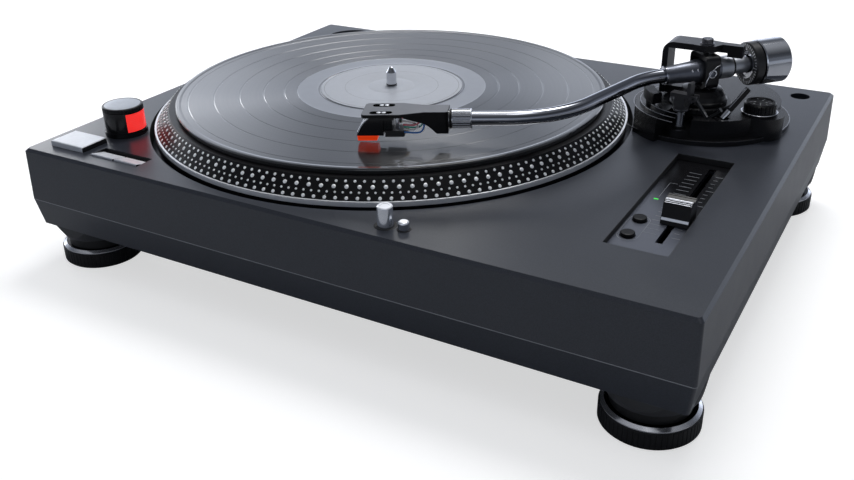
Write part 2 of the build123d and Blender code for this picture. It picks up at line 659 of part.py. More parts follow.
def pitch_button(at):
    """Round push button in the pitch panel."""
    base = DECK - PITCH_DEPTH
    button = round_button(at, PITCH_BUTTON_R, base + 0.2, base + PITCH_BUTTON_H + 0.6, 0.6)
    return button + rod(STEM_R, base - 7.5, base + 1, at) + rod(PITCH_BUTTON_R, base - PANEL_T + 1.3, base + 0.3, at)


def platter():
    """Cast platter: mat seat, lip, sloped strobe rim, hollow ribbed underside and hub."""
    edge_low, edge_high = PLATTER_EDGE
    profile = [(0, WEB_UNDER), (PLATTER_R - 11 - SKIN, WEB_UNDER), (PLATTER_R - SKIN, edge_high - SKIN),
               (PLATTER_R - SKIN, edge_low), (PLATTER_R, edge_low), (PLATTER_R, edge_high), *BEVEL,
               (BEVEL[1][0] - 0.3, LIP_TOP), (MAT_SEAT_R, LIP_TOP), (MAT_SEAT_R, MAT_SEAT), (0, MAT_SEAT)]
    disc = lathe(profile) + rod(HUB_R, HUB_BOTTOM, WEB_UNDER) + tube(SKIRT[1], SKIRT[0], SKIRT[2], WEB_UNDER)
    rib = block((0, PLATTER_R - 20 - SKIRT[1]), (-RIB_T / 2, RIB_T / 2), (DECK + 3, WEB_UNDER))
    disc += around(RIB_COUNT, rib, SKIRT[1] - 1)
    return Pos(*SPINDLE, 0) * (disc - rod(SPINDLE_R, HUB_BOTTOM - 1, LIP_TOP))


def rotor_magnet():
    """Ring magnet below the platter's skirt."""
    inner, outer, low = MAGNET
    return tube(outer, inner, low, SKIRT[2], SPINDLE)


def spindle():
    """Centre pin with a conical tip and a turned groove, down to its bearing."""
    r = SPINDLE_R
    low, high = SPINDLE_GROOVE
    profile = [(0, SPINDLE_BOTTOM), (r, SPINDLE_BOTTOM), (r, low), (r - 0.4, low + 0.3),
               (r - 0.4, high - 0.3), (r, high), (r, SPINDLE_TIP - SPINDLE_CONE),
               (r * 0.45, SPINDLE_TIP - 0.6), (r * 0.2, SPINDLE_TIP), (0, SPINDLE_TIP)]
    return lathe(profile, SPINDLE)


def slipmat():
    """Felt mat under the record."""
    return tube(MAT_R, MAT_HOLE_R, MAT_SEAT, MAT_SEAT + MAT_T, SPINDLE)


def record():
    """Long-playing record: raised label, groove area and rim bead."""
    low = MAT_SEAT + MAT_T
    hole = RECORD_HOLE_R
    profile = [(hole, low), (RECORD_R - 0.6, low), (RECORD_R, low + 0.7), (RECORD_R - 0.7, RIM_TOP),
               (RECORD_R - BEAD_W + 1.2, RIM_TOP), (RECORD_R - BEAD_W, GROOVES_TOP), (LABEL_R + 2, GROOVES_TOP),
               (LABEL_R + 0.8, LABEL_TOP), (hole, LABEL_TOP)]
    return lathe(profile, SPINDLE)


def foot(at):
    """Foot with a knurled base, a neck and a threaded stem."""
    r, h = FOOT_BASE
    stem_r, stem_top = FOOT_STEM
    profile = [(0, 0), (r - 1.2, 0), (r, 1.2), (r, h - 0.6), (r - 0.6, h), (NECK_R, h),
               (NECK_R, NECK_TOP), (stem_r, NECK_TOP), (stem_r, stem_top), (0, stem_top)]
    body = lathe(profile, at)
    return body - around(KNURLS, rod(0.45, 1.6, h + 1), r + 0.1, at)


def foot_ring(at):
    """Bright trim ring on the shoulder of a foot."""
    low = FOOT_BASE[1]
    bore = NECK_R + RUN
    return lathe([(bore, low), (RING_R[0], low), (RING_R[0], low + 0.7), (RING_R[1], RING_TOP), (bore, RING_TOP)], at)


def stepped_tier():
    """Round stepped part of the tonearm housing beside the platter, with its sloping wall."""
    profile = [(0, DECK), (TIER_FOOT, DECK)]
    for radius, top in TIERS:
        profile += [(radius, profile[-1][1])] if profile[-1][1] > DECK else []
        profile += [(radius, top)]
    top = TIERS[-1][1]
    profile += [(TIER_INNER, top), (TIER_INNER, BASE_TOP), (0, BASE_TOP)]
    return lathe(profile, PIVOT) & fan(TIER_FOOT + 1, *TIER_ANGLES, DECK, top, PIVOT)


def arm_base():
    """Fixed tonearm housing: flange, drum, bulges, stepped tier, pocket and bores."""
    (x0, x1), (y0, y1), corner = BASE_SPAN
    outline = Pos((x0 + x1) / 2, (y0 + y1) / 2, DECK) * RectangleRounded(x1 - x0, y1 - y0, corner)
    base = rod(BASE_FLANGE[0], DECK, DECK + BASE_FLANGE[1], BASE_AT)
    housing = rod(BASE_R, DECK, BASE_TOP, BASE_AT)
    housing += rod(SKATE_BULGE[2], DECK, BASE_TOP, SKATE_BULGE[:2])
    housing += rod(SKATE_SEAT[0], BASE_TOP - 1, SKATE_SEAT[1], SKATE_AT)
    base += housing - rod(POST_BULGE[0], POST_BULGE[1], BASE_TOP + 1, POST_AT)
    base += rod(POST_BULGE[0], DECK, POST_BULGE[1], POST_AT)
    base &= extrude(outline, 40)
    base += stepped_tier()
    base -= rod(PLATTER_CUT, DECK - 1, DECK + 40, SPINDLE)
    base += rod(NECK[0] + WALL, DECK - 5.5, DECK + 1, PIVOT)
    base -= rod(POST_BULGE[0] - 1.5, POST_BULGE[1], BASE_TOP + 9, POST_AT)
    base -= rod(NECK[0] + RUN, DECK - 6, BASE_TOP + 9, PIVOT)
    base -= rod(POST_RADIUS + RUN, DECK - 6, DECK + 20, POST_AT)
    base -= rod(3 + RUN, DECK + 8, DECK + 30, SKATE_AT)
    radius, reach, angle, low = PISTON
    base -= rod(radius + RUN, low - 1, DECK + 30, polar(reach, angle))
    rear, front, across, depth = CUE_POCKET
    pocket = block((rear, front), (-across / 2, across / 2), (BASE_TOP - depth, BASE_TOP + 9))
    pin_r, pin_half = CUE_PIN
    pin = Rot(90, 0, 0) * rod(pin_r + RUN, -pin_half - 0.1, pin_half + 0.1)
    base -= Pos(CUE_AT[0], CUE_AT[1], 0) * Rot(0, 0, ARM_ANGLE) * (pocket + Pos(0, 0, CUE_PIVOT_Z) * pin)
    return base


def shelf_height():
    """Height of the cradle's shelf, just under the parked tube."""
    return tube_height(CRADLE_AT) - TUBE_R - CRADLE_GAP


def clip_frame():
    """Frame on the rest clip's hinge pin, x along the parked arm."""
    return park_frame() * Pos(CRADLE_AT, CLIP_HINGE[0], shelf_height() + CLIP_HINGE[1])


def rest_post():
    """Arm rest: bright post on the pillar's carrier, with its black open cradle."""
    post = rod(POST_RADIUS, NECK[1], POST_HEAD + 3, POST_AT)
    head = lathe([(0, POST_HEAD), (4.6, POST_HEAD), (5.2, POST_HEAD + 1), (5.2, POST_HEAD + 8),
                  (4.0, POST_HEAD + 9), (0, POST_HEAD + 9)], POST_AT)
    shelf = shelf_height()
    span = (CRADLE_AT - CRADLE_HALF, CRADLE_AT + CRADLE_HALF)
    cradle = block(span, (-6.0, 7.2), (shelf - 2.6, shelf)) + block(span, (5.0, 7.2), (shelf - 1, shelf + 7.6))
    cradle += block((CRADLE_AT - 7, CRADLE_AT + 2), (-3.5, 3.5), (POST_HEAD + 5, shelf - 2))
    hinge_y = CLIP_HINGE[0]
    cheeks = block(span, (6.7, hinge_y + 1.8), (shelf - 3.8, shelf - 0.3))
    notch = CLIP_EYE[1] + GAP
    notch_y = hinge_y - CLIP_EYE[0] - GAP
    cheeks -= block((CRADLE_AT - notch, CRADLE_AT + notch), (notch_y, hinge_y + 3), (shelf - 5, shelf + 1))
    post += head + park_frame() * (cradle + cheeks)
    return post - clip_frame() * along(rod(CLIP_PIN + RUN, -CRADLE_HALF - 1, CRADLE_HALF + 1))


def park_frame():
    """Upright frame at the pivot turned to the parked arm's direction."""
    return Pos(PIVOT[0], PIVOT[1], 0) * Rot(0, 0, PARK_ANGLE)


def tube_height(reach):
    """Height of the arm tube's centre line at a distance from the pivot."""
    return PIVOT_Z - reach * tan(radians(ARM_DIP))


def rest_clip():
    """Hook that swings over the parked tube, hanging open beside the cradle."""
    eye, half = CLIP_EYE
    reach, under, top = CLIP_HOOK
    hook = block((-half, half), (-0.7, 0.7), (0, top)) + block((-half, half), (-reach, 0.7), (under, top))
    hook += block((-half, half), (-reach - 0.7, 0.7 - reach), (under - 1.2, top))
    hinge = along(rod(eye, -half, half) + rod(CLIP_PIN, -CRADLE_HALF, CRADLE_HALF))
    return clip_frame() * (Rot(-CLIP_OPEN, 0, 0) * hook + hinge)


def arm_pillar():
    """Lifting pillar: carrier below the deck, neck, domed turret and the open bridge."""
    px, py = PIVOT
    neck = rod(NECK[0], NECK[1], DECK + 19.2, PIVOT)
    turret = lathe([(0, DECK + 19)] + [(r, DECK + h) for r, h in TURRET] + [(0, TURRET_TOP)], PIVOT)
    carrier = rod(NECK[0], NECK[1] - 3, NECK[1], PIVOT) + rod(6, NECK[1] - 3, NECK[1], POST_AT)
    carrier += block((POST_AT[0] - 5, POST_AT[0] + 5), (POST_AT[1], py), (NECK[1] - 3, NECK[1]))
    x0, x1, y0, y1 = BRIDGE_LEG
    low, high = BRIDGE_TOP
    bridge = block((px + x0, px + x1), (py + y0, py + y1), (BRIDGE_FOOT[0], high))
    bridge += block((px + x0, px), (py + y0, py + y1), (low, high))
    bridge += block((px + x0, px), (py - 3, py + 11), BRIDGE_FOOT)
    corner = bridge.edges().filter_by(Axis.Y).group_by(Axis.Z)[-1].sort_by(Axis.X)[0]
    bridge = fillet(corner, 7)
    tip, tip0, tip1 = BRIDGE_TIP
    plan = [(px - 8, py + y0), (px, py - 6), (px + 6, py - 3), (px + BRIDGE_END, py + tip0), (px + tip, py + tip0),
            (px + tip, py + tip1), (px + BRIDGE_END, py + tip1), (px - 8, py + y1)]
    bridge += prism(plan, low, high)
    drop_x, drop_z = BRIDGE_DROP
    bridge += block((px + drop_x, px + tip), (py + tip0 + 0.5, py + tip1), (drop_z, low + 1))
    pillar = neck + turret + carrier + bridge
    pillar -= rod(TOP_PIN[0] + RUN, low - 1, high + 1, PIVOT)
    pillar -= rod(BOTTOM_PIN[0] + RUN, PIVOT_Z + BOTTOM_PIN[1] - 0.5, TURRET_TOP + 1, PIVOT)
    pillar -= Pos(px, py, LOCK_Z) * Rot(0, 0, LOCK_ANGLE) * along(rod(1.5 + RUN, 9, 20))
    return pillar


def pivot_nut():
    """Slotted bearing nut on the bridge, above the upright pivot."""
    r, top = PIVOT_NUT
    low = BRIDGE_TOP[1]
    nut = lathe([(0, low), (r + 0.8, low), (r + 0.8, low + 0.8), (r, low + 1), (r, top - 0.5), (r - 0.5, top),
                 (0, top)], PIVOT)
    slot = block((-r - 1, r + 1), (-0.5, 0.5), (top - 1.2, top + 1))
    return nut - Pos(PIVOT[0], PIVOT[1], 0) * Rot(0, 0, 30) * slot


def height_lock():
    """Knurled lock knob on the turret."""
    r, inner, outer = LOCK
    knob = rod(r, inner + 1.3, outer) + rod(1.5, 10, inner + 2)
    knob -= rod(r - 1.4, outer - 0.6, outer + 1)
    knob -= around(18, rod(0.35, inner, outer + 1), r)
    return Pos(PIVOT[0], PIVOT[1], LOCK_Z) * Rot(0, 0, LOCK_ANGLE) * along(knob)


def height_ring():
    """Knurled ring that raises the pillar."""
    r, low, top = HEIGHT_RING
    ring = lathe([(NECK[0] + RUN, low), (r, low), (r, top - 0.8), (r - 0.8, top), (NECK[0] + RUN, top)], PIVOT)
    return ring - around(HEIGHT_KNURLS, rod(0.5, low - 1, top + 1), r + 0.1, PIVOT)


def gimbal():
    """Closed bearing yoke round the arm, with its upright pins and side bores."""
    outer, inner, half = GIMBAL
    z0, z1, z2, z3 = GIMBAL_Z
    yoke = block((-half, half), (-outer, outer), (z0, z3))
    yoke = fillet(yoke.edges().filter_by(Axis.X), GIMBAL_R)
    opening = block((-half - 1, half + 1), (-inner, inner), (z1, z2))
    opening = fillet(opening.edges().filter_by(Axis.X), GIMBAL_R / 2)
    yoke -= opening
    yoke -= Rot(90, 0, 0) * rod(CROSS_PIN[0] + RUN, -outer - 1, outer + 1)
    yoke += rod(TOP_PIN[0], z3 - 1, TOP_PIN[1]) + rod(BOTTOM_PIN[0], BOTTOM_PIN[1], z0 + 1)
    return arm_frame(dip=0.0) * yoke


def tube_path():
    """Centre line of the S-shaped tube in the arm's frame."""
    turn_in = BEND_R[0] * tan(radians(RISE_ANGLE / 2))
    full = RISE_ANGLE + OFFSET_ANGLE
    turn_out = BEND_R[1] * tan(radians(full / 2))
    rise = (KNEE[1] - KNEE[0]) / cos(radians(RISE_ANGLE))
    first = Line((TUBE_START, 0), (KNEE[0] - turn_in, 0))
    bend = JernArc(start=first @ 1, tangent=first % 1, radius=BEND_R[0], arc_size=RISE_ANGLE)
    second = Line(bend @ 1, (bend @ 1) + (bend % 1) * (rise - turn_in - turn_out))
    crest = JernArc(start=second @ 1, tangent=second % 1, radius=BEND_R[1], arc_size=-full)
    last = TUBE_END - (crest @ 1).X
    third = Line(crest @ 1, (crest @ 1) + (crest % 1) * (last / cos(radians(OFFSET_ANGLE))))
    return Wire([first, bend, second, crest, third])


def arm_tube():
    """Hollow S-shaped arm tube."""
    path = tube_path()
    ring = Plane(origin=(TUBE_START, 0, 0), z_dir=(1, 0, 0)) * (Circle(TUBE_R) - Circle(TUBE_BORE))
    return arm_frame() * sweep(ring, path=path)


def arm_shaft():
    """Turned arm body: front collar, bearing hub with its cross pin, rear stub and shafts."""
    stub0, stub1, stub_r = REAR_STUB
    profile = [(0, COLLAR[0][0])] + [(r, x) for x, r in COLLAR]
    profile += [(HUB_ARM_R, COLLAR[-1][0]), (HUB_ARM_R, -stub0), (stub_r, -stub0), (stub_r, -stub1),
                (REAR_BAND[1], -stub1), (REAR_BAND[1], -REAR_BAND[0]), (REAR_SHAFT[1], -REAR_BAND[0]),
                (REAR_SHAFT[1], -REAR_SHAFT[0]), (THIN_SHAFT[1], -REAR_SHAFT[0]), (THIN_SHAFT[1], -THIN_SHAFT[0]),
                (0, -THIN_SHAFT[0])]
    body = along(lathe(profile))
    pin = Rot(90, 0, 0) * rod(CROSS_PIN[0], -CROSS_PIN[1], CROSS_PIN[1])
    return arm_frame() * (body + pin)


def headshell_nut():
    """Ribbed lock nut round the joint of tube and headshell."""
    low, high = NUT_SPAN
    nut = lathe([(TUBE_R + RUN, low), (NUT_R - 0.5, low), (NUT_R, low + 0.5), (NUT_R, high - 0.5),
                 (NUT_R - 0.5, high), (TUBE_R + RUN, high)])
    nut -= around(28, rod(0.4, low + 1, high - 1), NUT_R + 0.1)
    return shell_frame() * along(nut)


def shell_plan(front, wide, narrow):
    """Half-width outline of the headshell, widening from its neck to its front."""
    return [(7, -narrow), (16, -narrow), (30, -wide), (front - 1.5, -wide), (front, -wide + 1.5),
            (front, wide - 1.5), (front - 1.5, wide), (30, wide), (16, narrow), (7, narrow)]


def headshell():
    """Headshell: plug, washer, slotted top plate and two side walls with curved cut-outs."""
    top = 6.5
    outline = prism(shell_plan(53.0, 10.4, 6.4), -7.0, top)
    inner = prism(shell_plan(60.0, 8.8, 4.8), -8.0, top - 2.0)
    body = outline - inner
    arch = [(20, -8), (22.5, -5.5), (26, -1.5), (30, 1.0), (35, 2.2), (60, 2.6), (60, -8)]
    body -= slab(arch, 12)
    body += block((7, 9), (-6.4, 6.4), (-7, top))
    body += along(lathe([(0, -5.6), (TUBE_R, -5.6), (TUBE_R, 0.4), (5.8, 0.4), (5.8, 1.4), (4.8, 1.6), (4.8, 8),
                         (0, 8)]))
    for v in (-6.35, 6.35):
        body -= block((36.0, 47.0), (v - 1.35, v + 1.35), (top - 3, top + 1))
    return shell_frame() * body


def cartridge():
    """Pick-up cartridge: mounting block with ears, coil body and sloped nose."""
    ceiling = 4.5
    body = block((34, 49), (-8.4, 8.4), (ceiling - 2.4, ceiling)) + block((33, 45), (-6.2, 6.2), (-6.4, ceiling))
    body += block((32, 44), (-5.2, 5.2), (-9.4, -6.0))
    nose = [(44, ceiling), (50, ceiling), (53, 2.5), (57.2, -5.5), (57.8, -8.4), (44, -8.4)]
    body += slab(nose, 5.6)
    screws = [rod(1.2, ceiling - 3, ceiling + 2.0, (41.0, v)) + rod(2.3, 6.5, 8.0, (41.0, v)) for v in (-6.35, 6.35)]
    return shell_frame() * (body + screws)


def stylus():
    """Coloured stylus holder with its cantilever and tip."""
    grip = [(44.6, -8.4), (57.8, -8.4), (57.4, -12.4), (45.6, -12.4)]
    holder = slab(grip, 3.4)
    tip = stylus_tip()
    lever = Plane(origin=(48.5, 0, -12.2), z_dir=(tip - 48.5, 0, -0.9)) * Circle(0.35)
    return shell_frame() * (holder + extrude(lever, tip - 48.5))


def stylus_tip():
    """Distance of the stylus tip from the back of the headshell, along its axis."""
    return (ARM_LENGTH - SHELL_X) / cos(radians(OFFSET_ANGLE))


def drum_at(x0, x1, r, bore, edge):
    """Chamfered turned drum behind the pivot with a bore through it."""
    return along(lathe([(bore, -x0), (r - edge, -x0), (r, -x0 - edge), (r, -x1 + edge), (r - edge, -x1), (bore, -x1)]))


def counterweight():
    """Heavy turned drum with a blind bore that hides the shaft's end."""
    x0, x1, r = DRUM
    bush_r = BUSH[2] + RUN
    drum = along(lathe([(0, -x1), (0, -DRUM_CAVITY), (6.5, -DRUM_CAVITY), (6.5, -BUSH[1] - 0.4),
                        (bush_r, -BUSH[1] - 0.4), (bush_r, -BUSH[0] + 0.3), (DIAL_BOSS[0], -BUSH[0] + 0.3),
                        (DIAL_BOSS[0], -DIAL_BOSS[2]), (DIAL_BOSS[1], -DIAL_BOSS[2]), (DIAL_BOSS[1], -x0),
                        (r - 0.6, -x0), (r, -x0 - 0.6), (r, -x1 + 1.2), (r - 1.2, -x1)]))
    return arm_frame() * drum


def counterweight_dial():
    """Black numbered ring at the front of the counterweight."""
    x0, x1, r = DIAL
    return arm_frame() * drum_at(x0, x1, r, DIAL_BOSS[1] + RUN, 0.9)


def counterweight_bush():
    """Sliding bush between the shaft and the counterweight."""
    bore = THIN_SHAFT[1] + RUN
    x0, x1, r = BUSH
    return arm_frame() * along(tube(r, bore, -x1, -x0))


def cue_lever():
    """Leaning lift lever: barrel, bright stem and black grip."""
    barrel_r, half = BARREL
    pin_r, pin_half = CUE_PIN
    barrel = Rot(90, 0, 0) * (rod(barrel_r, -half, half) + rod(pin_r, -pin_half, pin_half))
    stem_r, stem_top = CUE_STEM
    grip_x, grip_y = CUE_GRIP[0] / 2, CUE_GRIP[1] / 2
    grip = block((-grip_x, grip_x), (-grip_y, grip_y), (stem_top - 1, CUE_LENGTH))
    stem = rod(stem_r, 0, stem_top - 0.5) + fillet(grip.edges(), 0.6)
    lean = Rot(0, -CUE_LEAN, 0)
    return Pos(CUE_AT[0], CUE_AT[1], CUE_PIVOT_Z) * Rot(0, 0, ARM_ANGLE) * (barrel + lean * stem)


def lifter():
    """Curved lift bar with grooves across its top, on its piston."""
    inner, outer, low, top = LIFTER
    bar = tube(outer, inner, low, top, PIVOT) & fan(outer, *LIFTER_ANGLES, low, top, PIVOT)
    span = LIFTER_ANGLES[1] - LIFTER_ANGLES[0]
    count = 9
    for i in range(count):
        angle = LIFTER_ANGLES[0] + span * (i + 0.5) / count
        groove = block((inner - 1, outer + 1), (-0.35, 0.35), (top - 0.6, top + 1))
        bar -= Pos(*PIVOT, 0) * Rot(0, 0, angle) * groove
    radius, reach, angle, bottom = PISTON
    return bar + rod(radius, bottom, low + 1, polar(reach, angle))


def anti_skate_dial():
    """Fluted side-force dial on its stem."""
    r, low, top = SKATE_DIAL
    dial = lathe([(0, low), (r, low), (r, top - 1.2), (r - 1.2, top), (r - 2.4, top), (r - 2.8, top - 0.4),
                  (0, top - 0.4)], SKATE_AT)
    dial += rod(3, DECK + 8.4, low + 1, SKATE_AT)
    return dial - around(SKATE_FLUTES, rod(0.7, low - 1, top + 1), r + 0.15, SKATE_AT)


def parts():
    """Every part of the player by name."""
    made = {
        "top_chassis": top_chassis(),
        "base_cover": base_cover(),
        "base_screws": base_screws(),
        "rear_panel": rear_panel(),
        "rca_jacks": rca_jacks(),
        "usb_socket": usb_socket(),
        "mains_inlet": mains_inlet(),
        "line_switch": line_switch(),
        "ground_post": ground_post(),
        "ground_nut": ground_nut(),
        "motor_stator": motor_stator(),
        "control_board": control_board(),
        "transformer": transformer(),
        "strobe_tower": strobe_tower(),
        "strobe_window": strobe_window(),
        "power_knob": power_knob(),
        "start_stop_button": push_button(STOP_AT, STOP_SIZE, STOP_TRAVEL),
        "target_light": target_light(),
        "light_button": round_button(LIGHT_AT, LIGHT_R, DECK - LIGHT_BODY + 6, DECK + LIGHT_H, 1.0),
        "pitch_panel": pitch_panel(),
        "fader_track": fader_track(),
        "pitch_fader": pitch_fader(),
        "pitch_led": pitch_led(),
        "platter": platter(),
        "rotor_magnet": rotor_magnet(),
        "spindle": spindle(),
        "slipmat": slipmat(),
        "record": record(),
        "arm_base": arm_base(),
        "rest_post": rest_post(),
        "rest_clip": rest_clip(),
        "arm_pillar": arm_pillar(),
        "pivot_nut": pivot_nut(),
        "height_lock": height_lock(),
        "height_ring": height_ring(),
        "gimbal": gimbal(),
        "arm_tube": arm_tube(),
        "arm_shaft": arm_shaft(),
        "headshell_nut": headshell_nut(),
        "headshell": headshell(),
        "cartridge": cartridge(),
        "stylus": stylus(),
        "counterweight": counterweight(),
        "counterweight_dial": counterweight_dial(),
        "counterweight_bush": counterweight_bush(),
        "cue_lever": cue_lever(),
        "lifter": lifter(),
        "anti_skate_dial": anti_skate_dial(),
    }
    for name, at in zip(("speed_33_button", "speed_45_button"), speed_centres()):
        made[name] = push_button(at, SPEED_SIZE, SPEED_TRAVEL, 0.4)
    for name, at in zip(("pitch_reset_button", "pitch_range_button"), PITCH_BUTTONS):
        made[name] = pitch_button(at)
    for number, at in enumerate(FOOT_AT, 1):
        made[f"foot_{number}"] = foot(at)
        made[f"foot_{number}_ring"] = foot_ring(at)
    return made


def main():
    """Writes each part to its own file."""
    os.makedirs("parts", exist_ok=True)
    for name, shape in parts().items():
        export_step(shape, f"parts/{name}.step")
        print(name, round(shape.volume))


main()
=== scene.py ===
import json
import logging
import math
from dataclasses import dataclass
from enum import Enum
from functools import cached_property
from typing import Sequence

import bmesh
import bpy
from mathutils import Matrix, Vector


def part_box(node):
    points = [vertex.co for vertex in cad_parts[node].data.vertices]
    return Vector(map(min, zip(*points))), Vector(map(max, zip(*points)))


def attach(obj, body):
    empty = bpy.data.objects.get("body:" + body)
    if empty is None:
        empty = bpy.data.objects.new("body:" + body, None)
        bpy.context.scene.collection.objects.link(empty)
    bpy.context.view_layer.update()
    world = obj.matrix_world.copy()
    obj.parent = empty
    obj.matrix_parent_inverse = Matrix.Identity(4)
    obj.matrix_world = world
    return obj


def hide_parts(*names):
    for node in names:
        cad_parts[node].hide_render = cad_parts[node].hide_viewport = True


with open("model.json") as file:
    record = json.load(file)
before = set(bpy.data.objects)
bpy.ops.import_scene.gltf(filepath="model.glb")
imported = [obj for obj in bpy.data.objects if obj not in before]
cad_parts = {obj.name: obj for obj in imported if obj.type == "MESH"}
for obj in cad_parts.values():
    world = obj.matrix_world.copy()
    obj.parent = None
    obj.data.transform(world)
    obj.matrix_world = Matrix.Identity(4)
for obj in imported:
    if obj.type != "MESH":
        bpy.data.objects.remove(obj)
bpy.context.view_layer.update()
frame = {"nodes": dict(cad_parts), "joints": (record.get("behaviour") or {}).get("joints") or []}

MM = 0.001
Colour = tuple[float, float, float]
Point = tuple[float, float, float]
Pair = tuple[float, float]
Outline = Sequence[Pair]
Socket = bpy.types.NodeSocket
Row = Sequence[bmesh.types.BMVert]
UP = Vector((0, 0, 1))
WHITE = (1.0, 1.0, 1.0)
log = logging.getLogger("record_player")


class Slot(Enum):
    """Names of the record's material slots."""

    CASE = "case_plastic"
    PLATTER = "platter_cast"
    SPINDLE = "spindle_steel"
    VINYL = "vinyl"
    KNOB = "knob_grey"
    BUTTON = "button_silver"
    PITCH = "pitch_black"
    LAMP = "led_green"
    BASE = "base_black"
    PILLAR = "pillar_black"
    POST = "post_metal"
    LEVER = "lever_black"
    BRIGHT = "bright_small"
    CHROME = "arm_chrome"
    SHAFT = "shaft_grey"
    BUSH = "bush"
    SHELL = "shell_grey"
    CARTRIDGE = "cartridge_black"
    JACK = "jack_plating"


# ---------------------------------------------------------------- places taken from the frame

def joint(name: str) -> dict:
    """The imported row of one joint."""
    return next(row for row in frame["joints"] if row["name"] == name)


def origin(name: str) -> Vector:
    """Place of a joint at rest, in metres."""
    return Vector(joint(name)["pos_m"])


def axis(name: str) -> Vector:
    """Direction of a joint at rest, of unit length."""
    return Vector(joint(name)["axis"]).normalized()


def middle(node: str) -> Vector:
    """Middle of a node's box, in metres."""
    low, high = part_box(node)
    return (low + high) / 2


def place(at: Vector, ahead: Vector = Vector((1, 0, 0)), up: Vector = UP) -> Matrix:
    """Builds a local frame for a piece.

    Args:
        at: origin in metres.
        ahead: direction of the local x axis.
        up: rough direction of the local z axis.

    Returns:
        Matrix from local millimetres to metres of the frame.
    """
    x = ahead.normalized()
    y = up.cross(x).normalized()
    z = x.cross(y)
    turn = Matrix((x, y, z)).transposed().to_4x4()
    return Matrix.Translation(at) @ turn @ Matrix.Scale(MM, 4)


def facing(at: Vector, normal: Vector, ahead: Vector) -> Matrix:
    """Builds a local frame whose z axis is exactly a given normal.

    Args:
        at: origin in metres.
        normal: direction of the local z axis.
        ahead: rough direction of the local x axis.

    Returns:
        Matrix from local millimetres to metres of the frame.
    """
    z = normal.normalized()
    y = z.cross(ahead).normalized()
    x = y.cross(z)
    turn = Matrix((x, y, z)).transposed().to_4x4()
    return Matrix.Translation(at) @ turn @ Matrix.Scale(MM, 4)


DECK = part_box("top_chassis")[1].z
SPINDLE = origin("platter_spin").xy
PIVOT = origin("arm_lift")
ARM = place(PIVOT, -axis("counterweight_turn"))
AHEAD = -axis("counterweight_turn")
NEAR_SIDE = -axis("arm_lift")
SHELL = place(origin("headshell_nut_turn"), axis("headshell_nut_turn"), ARM.to_3x3().col[2])


def on_deck(x: float, y: float, height: float = 0.0) -> Matrix:
    """Local frame upright on the deck, at a plan place in metres and a height in millimetres."""
    return place(Vector((x, y, DECK + height * MM)))


AT_SPINDLE = on_deck(*SPINDLE)
AT_PIVOT = on_deck(PIVOT.x, PIVOT.y)


# ---------------------------------------------------------------- node trees

